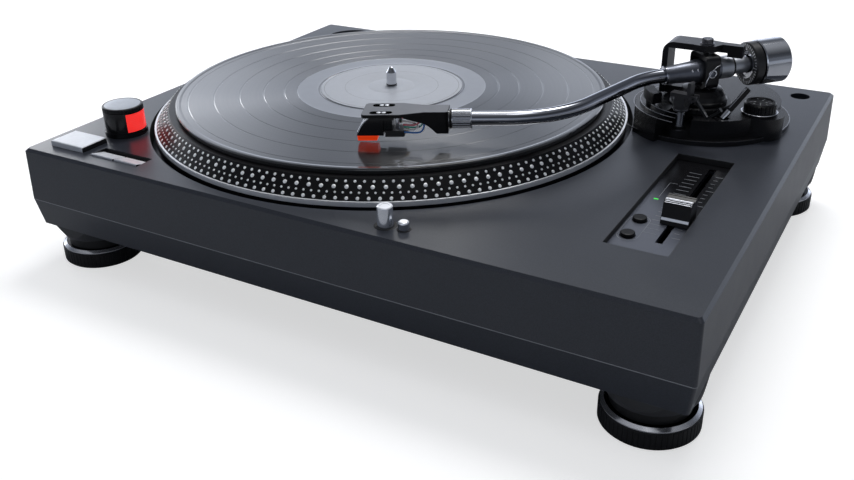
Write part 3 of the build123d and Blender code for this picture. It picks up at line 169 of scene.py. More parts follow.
class Graph:
    """A node tree, with short ways to add and join its nodes."""

    def __init__(self, tree: bpy.types.NodeTree) -> None:
        """Takes over a tree and empties it."""
        self.tree = tree
        tree.nodes.clear()

    @cached_property
    def place(self) -> Socket:
        """Position within the object."""
        return self.add("TexCoord").outputs["Object"]

    def add(self, kind: str, **settings: object) -> bpy.types.Node:
        """Adds a node and sets its plain properties.

        Args:
            kind: Blender's node type, without its common prefix.
            settings: property values by name.

        Returns:
            The new node.
        """
        node = self.tree.nodes.new("ShaderNode" + kind)
        for name, value in settings.items():
            setattr(node, name, value)
        return node

    def feed(self, socket: Socket, value: object) -> None:
        """Gives a socket a value, or links it when the value is another socket.

        Args:
            socket: input to fill.
            value: number, colour or another socket.
        """
        if isinstance(value, Socket):
            self.tree.links.new(value, socket)
        else:
            socket.default_value = value

    def math(self, operation: str, *values: object) -> Socket:
        """One arithmetic step.

        Args:
            operation: name of the Math node's operation.
            values: numbers or sockets, in order.

        Returns:
            The result's socket.
        """
        node = self.add("Math", operation=operation)
        for socket, value in zip(node.inputs, values):
            self.feed(socket, value)
        return node.outputs[0]

    def vector(self, operation: str, first: object, second: object = None, output: object = 0) -> Socket:
        """One step of vector arithmetic.

        Args:
            operation: name of the Vector Math node's operation.
            first: vector or socket.
            second: vector or socket, for operations on two.
            output: number or name of the output wanted.

        Returns:
            The result's socket.
        """
        node = self.add("VectorMath", operation=operation)
        self.feed(node.inputs[0], first)
        if second is not None:
            self.feed(node.inputs[1], second)
        return node.outputs[output]

    def parts(self, vector: object) -> Sequence[Socket]:
        """The three coordinates of a vector.

        Args:
            vector: vector or socket.

        Returns:
            Sockets of x, y and z.
        """
        node = self.add("SeparateXYZ")
        self.feed(node.inputs[0], vector)
        return node.outputs

    def shader(self, kind: str, colour: object, strength: object = None) -> Socket:
        """Simple shader of one colour.

        Args:
            kind: Blender's node type, without its common prefix.
            colour: colour or socket.
            strength: number or socket, for shaders that shine.

        Returns:
            The shader's socket.
        """
        node = self.add(kind)
        self.feed(node.inputs["Color"], (*colour, 1.0) if isinstance(colour, tuple) else colour)
        if strength is not None:
            self.feed(node.inputs["Strength"], strength)
        return node.outputs[0]

    def merge(self, kind: str, *inputs: object) -> Socket:
        """Joins shaders with a Mix Shader or Add Shader node, given its inputs in order.

        Args:
            kind: Blender's node type, without its common prefix.
            inputs: numbers or sockets, in the node's order.

        Returns:
            The joined shader's socket.
        """
        node = self.add(kind)
        for socket, value in zip(node.inputs, inputs):
            self.feed(socket, value)
        return node.outputs[0]

    def finish(self, kind: str, surface: Socket) -> None:
        """Ends the tree in an output node."""
        self.feed(self.add(kind).inputs["Surface"], surface)

    def mix(self, amount: object, first: object, second: object) -> Socket:
        """Blends two colours by an amount from 0 to 1.

        Args:
            amount: share of the second colour, as a number or socket.
            first: first colour or socket.
            second: second colour or socket.

        Returns:
            The blended colour's socket.
        """
        node = self.add("Mix", data_type="RGBA")
        self.feed(node.inputs["Factor"], amount)
        self.feed(node.inputs["A"], (*first, 1.0) if isinstance(first, tuple) else first)
        self.feed(node.inputs["B"], (*second, 1.0) if isinstance(second, tuple) else second)
        return node.outputs["Result"]

    def noise(self, size: float, detail: float = 3.0, stretch: Point = (1, 1, 1)) -> Socket:
        """Soft noise with features of a given size.

        Args:
            size: feature size in millimetres.
            detail: number of finer layers.
            stretch: how much the features are squeezed along each axis.

        Returns:
            Socket with values from 0 to 1.
        """
        node = self.add("TexNoise")
        node.inputs["Scale"].default_value = 1.0 / (size * MM)
        node.inputs["Detail"].default_value = detail
        self.feed(node.inputs["Vector"], self.vector("MULTIPLY", self.place, stretch))
        return node.outputs["Fac"]

    def cells(self, size: float) -> Socket:
        """Random value for each small cell of a given size in millimetres.

        Args:
            size: cell size in millimetres.

        Returns:
            Socket with values from 0 to 1.
        """
        node = self.add("TexVoronoi", feature="F1")
        node.inputs["Scale"].default_value = 1.0 / (size * MM)
        self.feed(node.inputs["Vector"], self.place)
        split = self.add("SeparateColor")
        self.feed(split.inputs[0], node.outputs["Color"])
        return split.outputs[0]

    def remap(self, value: object, start: Sequence[float], end: Sequence[float] = (0.0, 1.0),
              soft: bool = False) -> Socket:
        """Maps a value from one range to another.

        Args:
            value: number or socket.
            start: range it comes from.
            end: range it goes to.
            soft: whether it eases in and out.

        Returns:
            Socket of the mapped value, held within the range.
        """
        node = self.add("MapRange", interpolation_type="SMOOTHSTEP" if soft else "LINEAR")
        for name, number in zip(("Value", "From Min", "From Max", "To Min", "To Max"), (value, *start, *end)):
            self.feed(node.inputs[name], number)
        return node.outputs[0]

    def spread(self, value: object, low: float, high: float) -> Socket:
        """Maps a value from 0..1 to low..high."""
        return self.remap(value, (0.0, 1.0), (low, high))

    def step(self, value: object, edge: float, soft: float) -> Socket:
        """Smooth step from 0 to 1 as a value passes an edge."""
        return self.remap(value, (edge - soft, edge + soft), soft=True)

    def about(self, at: Vector, along: Vector) -> tuple[Socket, Socket]:
        """Measures from a line, for turned parts.

        Args:
            at: a point on the line, in metres.
            along: its direction, of unit length.

        Returns:
            Sockets of the distance from the line and the distance along it, in metres.
        """
        offset = self.vector("SUBTRACT", self.place, at)
        height = self.vector("DOT_PRODUCT", offset, along, "Value")
        length = self.vector("LENGTH", offset, output="Value")
        squares = self.math("SUBTRACT", self.math("POWER", length, 2.0), self.math("POWER", height, 2.0))
        return self.math("SQRT", self.math("MAXIMUM", squares, 0.0)), height

    def rings(self, size: float, detail: float, roughness: float, *where: Socket) -> Socket:
        """Noise that depends on the distance from an axis, and along it if that is given.

        Args:
            size: feature size in millimetres.
            detail: number of finer layers.
            roughness: strength of the finer layers.
            where: sockets of the distance from the axis and, if wanted, the distance along it.

        Returns:
            Socket with values from 0 to 1.
        """
        joined = self.add("CombineXYZ")
        for socket, value in zip(joined.inputs, where):
            self.feed(socket, value)
        node = self.add("TexNoise", noise_dimensions="2D")
        for name, value in (("Scale", 1.0 / (size * MM)), ("Detail", detail), ("Roughness", roughness),
                            ("Vector", joined.outputs[0])):
            self.feed(node.inputs[name], value)
        return node.outputs["Fac"]

    def bump(self, height: object, depth: float, under: object = None) -> Socket:
        """Fine relief.

        Args:
            height: socket of heights from 0 to 1.
            depth: full depth in millimetres.
            under: normal to build on, if any.

        Returns:
            The new normal's socket.
        """
        node = self.add("Bump")
        node.inputs["Strength"].default_value = 1.0
        node.inputs["Distance"].default_value = depth * MM
        self.feed(node.inputs["Height"], height)
        if under is not None:
            self.feed(node.inputs["Normal"], under)
        return node.outputs[0]


def new_material(name: str) -> bpy.types.Material:
    """Material with a node tree of its own.

    Args:
        name: name of the material.

    Returns:
        The empty material.
    """
    made = bpy.data.materials.new(name)
    made.use_nodes = True
    return made


@dataclass(frozen=True)
class Finish:
    """A surface finish: colour, gloss, and the grain and unevenness seen up close."""

    name: str
    colour: Colour
    roughness: float = 0.5
    metallic: float = 0.0
    specular: float = 0.5
    coat: float = 0.0
    coat_roughness: float = 0.05
    coat_ior: float = 1.5
    anisotropy: float = 0.0
    grain: float = 0.3
    grain_depth: float = 0.006
    mottle: float = 0.07
    smudge: float = 0.04
    smudge_size: float = 18.0
    mottle_grains: float = 25.0

    def shades(self, contrast: float) -> tuple[Colour, Colour]:
        """The colour made darker and lighter.

        Args:
            contrast: share by which each shade differs from the colour.

        Returns:
            The darker shade and the lighter one.
        """
        darker = tuple(c * (1 - contrast) for c in self.colour)
        lighter = tuple(min(c * (1 + contrast), 1.0) for c in self.colour)
        return darker, lighter

    def tint(self, graph: Graph) -> Socket:
        """Base colour with a slow unevenness."""
        return graph.mix(graph.noise(self.grain * self.mottle_grains, 4.0), *self.shades(self.mottle))

    def gloss(self, graph: Graph) -> Socket:
        """Roughness with faint smudges."""
        low, high = max(self.roughness - self.smudge, 0.0), self.roughness + self.smudge
        return graph.spread(graph.noise(self.smudge_size, 5.0), low, high)

    def relief(self, graph: Graph) -> Socket:
        """Fine grain of the surface."""
        return graph.bump(graph.noise(self.grain, 2.0), self.grain_depth)

    def extra(self, graph: Graph, shader: bpy.types.Node) -> None:
        """Further inputs of a finish that glows or carries a nap; the plain one has none."""

    def make(self) -> bpy.types.Material:
        """The finish as a material, built once and then shared.

        Returns:
            The material.
        """
        made = bpy.data.materials.get(self.name)
        if made:
            return made
        made = new_material(self.name)
        graph = Graph(made.node_tree)
        shader = graph.add("BsdfPrincipled")
        values = {"Base Color": self.tint(graph), "Roughness": self.gloss(graph),
                  "Normal": self.relief(graph), "Metallic": self.metallic,
                  "Specular IOR Level": self.specular, "Coat Weight": self.coat,
                  "Coat Roughness": self.coat_roughness, "Coat IOR": self.coat_ior,
                  "Anisotropic": self.anisotropy}
        for name, value in values.items():
            graph.feed(shader.inputs[name], value)
        self.extra(graph, shader)
        graph.finish("OutputMaterial", shader.outputs[0])
        return made


@dataclass(frozen=True)
class Flaked(Finish):
    """Metallic paint: fine flakes in the colour under a slightly orange-peeled lacquer."""

    flake: float = 0.35
    flake_contrast: float = 0.22
    panel: float = 60.0
    peel: float = 1.6

    def tint(self, graph: Graph) -> Socket:
        """Colour that varies a little from flake to flake and slowly over the panel.

        Args:
            graph: node tree of the material.

        Returns:
            The colour's socket.
        """
        flakes = graph.mix(graph.cells(self.flake), *self.shades(self.flake_contrast))
        slow = graph.spread(graph.noise(self.panel, 2.0), 1.0 - self.mottle, 1.0 + self.mottle)
        node = graph.add("VectorMath", operation="SCALE")
        graph.feed(node.inputs[0], flakes)
        graph.feed(node.inputs["Scale"], slow)
        return node.outputs[0]

    def relief(self, graph: Graph) -> Socket:
        """Orange peel of the lacquer over the fine flake texture."""
        peel = graph.bump(graph.noise(self.peel, 1.0), self.grain_depth * 2)
        return graph.bump(graph.noise(self.grain, 2.0), self.grain_depth, peel)


@dataclass(frozen=True)
class Capped(Finish):
    """Bright cap whose side facing right or back is painted dark: a painted reflection of the dark platter
    beside it.
    """

    flank: Colour = (0.01, 0.01, 0.011)

    def tint(self, graph: Graph) -> Socket:
        """Cap colour, slowly uneven, painted dark as a painted reflection where the surface faces right or
        back.

        Args:
            graph: node tree of the material.

        Returns:
            The colour's socket.
        """
        right, back, _ = graph.parts(graph.add("NewGeometry").outputs["Normal"])
        aside = graph.math("MAXIMUM", right, back)
        # the faces turned right or back get a painted dark reflection
        return graph.mix(graph.step(aside, 0.75, 0.1), super().tint(graph), self.flank)


@dataclass(frozen=True)
class Plunger(Finish):
    """Polished plunger with a spun, paler top."""

    def extra(self, graph: Graph, shader: bpy.types.Node) -> None:
        """Mirror sides and a softer top.

        Args:
            graph: node tree of the material.
            shader: main shader of the finish.
        """
        upward = graph.parts(graph.add("NewGeometry").outputs["Normal"])[2]
        top = graph.step(upward, 0.6, 0.3)
        graph.feed(shader.inputs["Metallic"], graph.spread(top, 1.0, 0.3))


@dataclass(frozen=True)
class Turned(Finish):
    """Metal turned on a lathe: hairlines round the piece's own axis."""

    at: Point = (0, 0, 0)
    along: Point = (0, 0, 1)
    line: float = 0.12
    line_depth: float = 0.002

    def relief(self, graph: Graph) -> Socket:
        """Uneven hairlines left by the tool, over the fine grain.

        Args:
            graph: node tree of the material.

        Returns:
            The normal's socket.
        """
        where = graph.about(Vector(self.at), Vector(self.along))
        lines = graph.bump(graph.rings(self.line, 2.0, 0.5, *where), self.line_depth)
        return graph.bump(graph.noise(self.grain, 2.0), self.grain_depth, lines)


@dataclass(frozen=True)
class TwoTone(Turned):
    """Turned piece whose far part, along its axis or outwards, has another colour."""

    other: Colour = (0.4, 0.4, 0.4)
    edge: float = 0.0
    outwards: bool = False
    blur: float = 0.15

    def tint(self, graph: Graph) -> Socket:
        """First colour up to the edge, and the other past it.

        Args:
            graph: node tree of the material.

        Returns:
            The colour's socket.
        """
        radius, height = graph.about(Vector(self.at), Vector(self.along))
        way = graph.step(radius if self.outwards else height, self.edge * MM, self.blur * MM)
        return graph.mix(way, super().tint(graph), self.other)


@dataclass(frozen=True)
class Felt(Finish):
    """Pressed felt: short crossing fibres with a soft sheen at the edges."""

    fibre: float = 0.5
    fibre_length: float = 6.0
    nap: float = 1.4
    sheen: float = 0.35
    sheen_roughness: float = 0.5

    def relief(self, graph: Graph) -> Socket:
        """Fibres lying both ways over a lumpy nap.

        Args:
            graph: node tree of the material.

        Returns:
            The normal's socket.
        """
        one = graph.bump(graph.noise(self.fibre, 4.0, (1.0, self.fibre_length, 1.0)), self.grain_depth)
        other = graph.bump(graph.noise(self.fibre, 4.0, (self.fibre_length, 1.0, 1.0)), self.grain_depth, one)
        return graph.bump(graph.noise(self.nap, 3.0), self.grain_depth, other)

    def extra(self, graph: Graph, shader: bpy.types.Node) -> None:
        """Sheen of the nap."""
        shader.inputs["Sheen Weight"].default_value = self.sheen
        shader.inputs["Sheen Roughness"].default_value = self.sheen_roughness


@dataclass(frozen=True)
class Lit(Finish):
    """Clear coloured plastic that glows: a lamp stands behind it in the strobe window and the pitch lamp,
    while on the stylus the glow is painted light.
    """

    glow: Colour = (1.0, 0.1, 0.05)
    power: float = 1.0
    ribs: float = 1.2

    def extra(self, graph: Graph, shader: bpy.types.Node) -> None:
        """Light that shows through, ribbed by the moulding and a little uneven; on the stylus, which has no
        lamp, it is a painted glow.

        Args:
            graph: node tree of the material.
            shader: main shader of the finish.
        """
        wave = graph.add("TexWave", wave_type="BANDS", bands_direction="Z")
        wave.inputs["Scale"].default_value = 0.314 / (self.ribs * MM)
        wave.inputs["Distortion"].default_value = 0.4
        graph.feed(wave.inputs["Vector"], graph.place)
        soft = graph.math("MULTIPLY", graph.spread(wave.outputs["Fac"], 0.75, 1.0),
                          graph.spread(graph.noise(5.0, 2.0), 0.8, 1.15))
        graph.feed(shader.inputs["Emission Strength"], graph.math("MULTIPLY", soft, self.power))
        shader.inputs["Emission Color"].default_value = (*self.glow, 1.0)


@dataclass(frozen=True)
class Grooved(Finish):
    """Pressed vinyl: fine grooves in bands of slightly different roughness round the spindle, with a painted
    sheen that makes the same bands slightly lighter.
    """

    at: Point = (0, 0, 0)
    pitch: float = 0.55
    groove_depth: float = 0.004
    passage: float = 2.2

    def bands(self, graph: Graph) -> Socket:
        """Loud and quiet passages: noise that depends on the radius only."""
        radius, _ = graph.about(Vector(self.at), UP)
        return graph.rings(self.passage, 6.0, 0.7, radius)

    def tint(self, graph: Graph) -> Socket:
        """Black vinyl with a painted sheen: a little lighter where the groove is dense."""
        return graph.mix(self.bands(graph), *self.shades(2.5 * self.mottle))

    def gloss(self, graph: Graph) -> Socket:
        """Roughness that follows the bands."""
        return graph.spread(self.bands(graph), self.roughness - self.smudge, self.roughness + self.smudge)

    def relief(self, graph: Graph) -> Socket:
        """Grooves as rings of relief.

        Args:
            graph: node tree of the material.

        Returns:
            The normal's socket.
        """
        radius, _ = graph.about(Vector(self.at), UP)
        wave = graph.math("SINE", graph.math("MULTIPLY", radius, 2 * math.pi / (self.pitch * MM)))
        rings = graph.bump(graph.spread(wave, 0.0, 1.0), self.groove_depth)
        return graph.bump(self.bands(graph), self.groove_depth * 2.5, rings)

    def extra(self, graph: Graph, shader: bpy.types.Node) -> None:
        """Highlights drawn out across the grooves.

        Args:
            graph: node tree of the material.
            shader: main shader of the finish.
        """
        tangent = graph.add("Tangent", direction_type="RADIAL", axis="Z")
        graph.feed(shader.inputs["Tangent"], tangent.outputs[0])
        shader.inputs["Anisotropic Rotation"].default_value = 0.25


@dataclass(frozen=True)
class Faded(Finish):
    """Gloss black panel with a painted reflection: a pale tone at its near left corner that runs into the
    black.
    """

    pale: Colour = (0.1, 0.1, 0.1)
    low: Point = (0, 0, 0)
    high: Point = (1, 1, 1)

    def tint(self, graph: Graph) -> Socket:
        """Painted reflection: a pale tone that fades towards the far right corner.

        Args:
            graph: node tree of the material.

        Returns:
            The colour's socket.
        """
        x0, y0, _ = self.low
        x1, y1, _ = self.high
        x, y, _ = graph.parts(graph.place)
        across = graph.math("MULTIPLY", graph.math("SUBTRACT", x, x0), 0.45 / (x1 - x0))
        back = graph.math("MULTIPLY", graph.math("SUBTRACT", y, y0), 1.0 / (y1 - y0))
        way = graph.math("ADD", graph.math("ADD", across, back),
                         graph.spread(graph.noise(30.0, 2.0), -0.06, 0.06))
        return graph.mix(graph.step(way, 0.66, 0.16), self.pale, self.colour)


@dataclass(frozen=True)
class Laminate(Finish):
    """Circuit board: lacquered green laminate with paler copper tracks under the lacquer."""

    cell: float = 4.0
    track: float = 0.12
    track_brightness: float = 2.2

    def tint(self, graph: Graph) -> Socket:
        """Tracks as thin lines between cells.

        Args:
            graph: node tree of the material.

        Returns:
            The colour's socket.
        """
        node = graph.add("TexVoronoi", feature="DISTANCE_TO_EDGE", distance="CHEBYCHEV")
        node.inputs["Scale"].default_value = 1.0 / (self.cell * MM)
        graph.feed(node.inputs["Vector"], graph.place)
        line = graph.step(node.outputs["Distance"], self.track, 0.02)
        return graph.mix(line, tuple(c * self.track_brightness for c in self.colour), self.colour)


def about_z(at: Vector) -> dict[str, Point]:
    """Axis of a piece turned about an upright line."""
    return {"at": tuple(at), "along": (0.0, 0.0, 1.0)}


AXLE = about_z(middle("spindle"))
LENGTHWISE = {"at": tuple(PIVOT), "along": tuple(axis("counterweight_turn"))}


class Palette:
    """Every finish of the player."""

    deck = Flaked("deck_paint_finish", (0.027, 0.031, 0.041), roughness=0.30, metallic=0.1, specular=0.6,
                  grain=0.25, grain_depth=0.004, mottle=0.04, smudge=0.03)
    case = Finish("case_plastic_finish", (0.022, 0.023, 0.026), roughness=0.55, grain=0.4, grain_depth=0.02)
    # Black for small dark parts and the recesses, and painted shade in the platter well.
    black_liner = Finish("black_parts_and_shade_finish", (0.006, 0.006, 0.007), roughness=0.6, grain=0.4)
    tower = Finish("tower_black_finish", (0.006, 0.006, 0.007), roughness=0.22, specular=0.35, coat=0.15,
                   grain_depth=0.002)
    knob = Finish("knob_black_finish", (0.006, 0.006, 0.008), roughness=0.32, specular=0.3, grain_depth=0.004)
    knob_disc = Finish("knob_disc_finish", (0.42, 0.45, 0.50), roughness=0.42, metallic=0.3, grain=0.15,
                       mottle=0.12)
    window = Lit("strobe_window_finish", (0.75, 0.03, 0.03), roughness=0.18, coat=0.6,
                 glow=(1.0, 0.035, 0.03), power=0.9)
    silver_cap = Capped("button_cap_finish", (0.70, 0.72, 0.76), roughness=0.42, metallic=0.3, grain=0.12,
                        mottle=0.10)
    # The pale corner of the gloss black panel is a painted reflection of the bright surroundings.
    pitch_panel = Faded("pitch_panel_finish", (0.004, 0.004, 0.005), roughness=0.20, specular=0.4, grain=0.5,
                        grain_depth=0.001, pale=(0.125, 0.135, 0.165), low=tuple(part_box("pitch_panel")[0]),
                        high=tuple(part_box("pitch_panel")[1]))
    pitch_cap = Finish("fader_finish", (0.004, 0.004, 0.005), roughness=0.36, specular=0.2, grain=0.2,
                       grain_depth=0.01)
    lens = Finish("light_lens_finish", (0.55, 0.57, 0.60), roughness=0.08, coat=0.6, grain_depth=0.001)
    lamp = Lit("pitch_lamp_finish", (0.05, 0.6, 0.08), roughness=0.15, glow=(0.12, 1.0, 0.15), power=0.6,
               ribs=0.6)
    print_white = Finish("print_white_finish", (0.55, 0.57, 0.60), roughness=0.5, grain=0.1,
                         grain_depth=0.002)
    print_faint = Finish("print_grey_finish", (0.16, 0.17, 0.19), roughness=0.5, grain=0.1, grain_depth=0.002)
    rim_black = Turned("platter_black_finish", (0.003, 0.003, 0.004), roughness=0.35, specular=0.25, line=0.4,
                       **AXLE)
    dot = Turned("strobe_dot_finish", (0.92, 0.94, 0.97), roughness=0.40, metallic=0.3, line=0.3, **AXLE)
    rim_bright = Turned("rim_bright_finish", (0.84, 0.86, 0.90), roughness=0.24, metallic=0.4, line=0.25,
                        **AXLE)
    magnet = Finish("magnet_finish", (0.05, 0.05, 0.05), roughness=0.6, metallic=0.4, grain=0.5,
                    grain_depth=0.03)
    felt = Felt("felt_finish", (0.014, 0.014, 0.015), roughness=0.95, grain_depth=0.08)
    vinyl = Grooved("vinyl_finish", (0.005, 0.0055, 0.007), roughness=0.30, specular=0.55, anisotropy=0.97,
                    mottle=0.10, smudge=0.05, coat=1.0, coat_roughness=0.02, coat_ior=1.75,
                    at=tuple(middle("spindle")))
    # The run-out vinyl is as black as the rest; its grey is a painted reflection of the bright surroundings
    # on the smooth wax.
    vinyl_plain = Turned("run_out_painted_sheen_finish", (0.24, 0.255, 0.29), roughness=0.30, specular=0.55, coat=0.5,
                         line=0.5, line_depth=0.0015, **AXLE)
    label = Finish("label_paper_finish", (0.40, 0.42, 0.46), roughness=0.42, specular=0.6, grain=0.15,
                   grain_depth=0.006)
    label_ink = Finish("label_ink_finish", (0.14, 0.145, 0.16), roughness=0.42, grain=0.15, grain_depth=0.004)
    spindle = Turned("spindle_steel_finish", (0.66, 0.67, 0.70), roughness=0.16, metallic=1.0, line=0.2,
                     line_depth=0.004, **AXLE)
    base = Finish("tonearm_base_finish", (0.006, 0.006, 0.007), roughness=0.25, specular=0.4, grain=0.25,
                  grain_depth=0.006)
    pillar = Turned("pillar_black_finish", (0.005, 0.005, 0.006), roughness=0.28, specular=0.25, line=0.3,
                    line_depth=0.004, **about_z(PIVOT))
    gimbal = Finish("gimbal_black_finish", (0.007, 0.007, 0.008), roughness=0.30, specular=0.4, grain=0.25,
                    grain_depth=0.01)
    # Pale trim for print and small bright parts, and painted highlights on the cartridge's nose edges and the
    # headshell's screw heads.
    trim = Finish("bright_trim_and_highlight_finish", (0.80, 0.82, 0.86), roughness=0.22, metallic=0.35, grain=0.2,
                  grain_depth=0.002)
    nut = Turned("nut_chrome_finish", (0.46, 0.47, 0.50), roughness=0.16, metallic=1.0, line=0.2,
                 at=tuple(SHELL.translation), along=tuple(axis("headshell_nut_turn")))
    steel = Finish("bright_small_finish", (0.72, 0.73, 0.76), roughness=0.15, metallic=1.0, grain=0.2,
                   grain_depth=0.002)
    post = Turned("rest_post_finish", (0.03, 0.03, 0.033), roughness=0.3, **about_z(middle("rest_post")))
    chrome = Finish("arm_chrome_finish", (0.35, 0.36, 0.40), roughness=0.08, metallic=1.0, grain=0.6,
                    grain_depth=0.0006, mottle=0.02, smudge=0.02)
    shaft = TwoTone("shaft_grey_finish", (0.16, 0.17, 0.20), roughness=0.32, metallic=0.8, line=0.2,
                    line_depth=0.004, **LENGTHWISE, other=(0.46, 0.48, 0.52), edge=9.0)
    weight = Turned("weight_chrome_finish", (0.62, 0.635, 0.67), roughness=0.11, metallic=1.0, line=0.25,
                    line_depth=0.0012, **LENGTHWISE)
    dial = Turned("dial_black_finish", (0.010, 0.010, 0.011), roughness=0.35, line=0.3, **LENGTHWISE)
    bush = Finish("bush_finish", (0.02, 0.02, 0.021), roughness=0.5)
    shell_top = Finish("headshell_grey_finish", (0.135, 0.14, 0.155), roughness=0.42, metallic=0.3,
                       grain=0.25, grain_depth=0.012)
    shell_black = Finish("headshell_black_finish", (0.004, 0.004, 0.005), roughness=0.32, specular=0.25,
                         grain=0.25, grain_depth=0.008)
    void = Finish("void_black_finish", (0.002, 0.002, 0.002), roughness=0.9, specular=0.0, grain=0.3,
                  grain_depth=0.004)
    cartridge = Finish("cartridge_finish", (0.005, 0.005, 0.006), roughness=0.18, specular=0.35, coat=0.15,
                       grain=0.3, grain_depth=0.003)
    # The stylus has no lamp: its glow is painted light that brightens the orange plastic.
    stylus = Lit("stylus_finish", (0.90, 0.055, 0.008), roughness=0.25, specular=0.5, grain=0.2,
                 grain_depth=0.006, glow=(1.0, 0.055, 0.004), power=0.45, ribs=2.4)
    lever = Finish("lever_black_finish", (0.004, 0.004, 0.005), roughness=0.28, specular=0.25, grain=0.3,
                   grain_depth=0.01)
    rubber = Finish("rubber_finish", (0.007, 0.007, 0.008), roughness=0.45, specular=0.35, grain=0.5,
                    grain_depth=0.03)
    # Pale edges are painted highlights where edges of the housing and the fader's ridges catch the light; the
    # dim copy is painted shade on the flange's front.
    edge = Finish("edge_highlight_finish", (0.34, 0.35, 0.38), roughness=0.28, metallic=0.7, grain=0.2,
                  grain_depth=0.003)
    edge_dim = Finish("edge_shade_finish", (0.03, 0.031, 0.035), roughness=0.35, metallic=0.4, grain=0.2,
                      grain_depth=0.003)
    # Painted highlight along the fold of the case walls.
    seam = Finish("crease_highlight_finish", (0.20, 0.21, 0.23), roughness=0.5, grain=0.3, grain_depth=0.002)
    plunger = Plunger("plunger_finish", (0.80, 0.82, 0.86), roughness=0.16, grain=0.12, grain_depth=0.003)
    cap_nut = Finish("pivot_nut_finish", (0.10, 0.10, 0.11), roughness=0.22, metallic=0.8, grain=0.5,
                     grain_depth=0.06)
    screw = Finish("screw_finish", (0.30, 0.30, 0.31), roughness=0.35, metallic=0.9)
    plating = Finish("jack_plating_finish", (0.78, 0.60, 0.28), roughness=0.2, metallic=1.0,
                     grain_depth=0.002)
    socket = Finish("socket_metal_finish", (0.55, 0.56, 0.58), roughness=0.3, metallic=1.0)
    inlet = Finish("inlet_black_finish", (0.014, 0.014, 0.015), roughness=0.5, grain=0.4, grain_depth=0.015)
    iron = Finish("motor_steel_finish", (0.34, 0.34, 0.36), roughness=0.35, metallic=0.9, grain=0.6)
    board = Laminate("circuit_board_finish", (0.02, 0.10, 0.04), roughness=0.3, coat=0.4)
    wire_colours = {
        "red": Finish("lead_red_finish", (0.72, 0.16, 0.20), roughness=0.4, grain_depth=0.004),
        "white": Finish("lead_white_finish", (0.82, 0.80, 0.78), roughness=0.4, grain_depth=0.004),
        "blue": Finish("lead_blue_finish", (0.05, 0.20, 0.58), roughness=0.4, grain_depth=0.004),
        "green": Finish("lead_green_finish", (0.02, 0.34, 0.26), roughness=0.4, grain_depth=0.004),
    }


# ---------------------------------------------------------------- mesh work

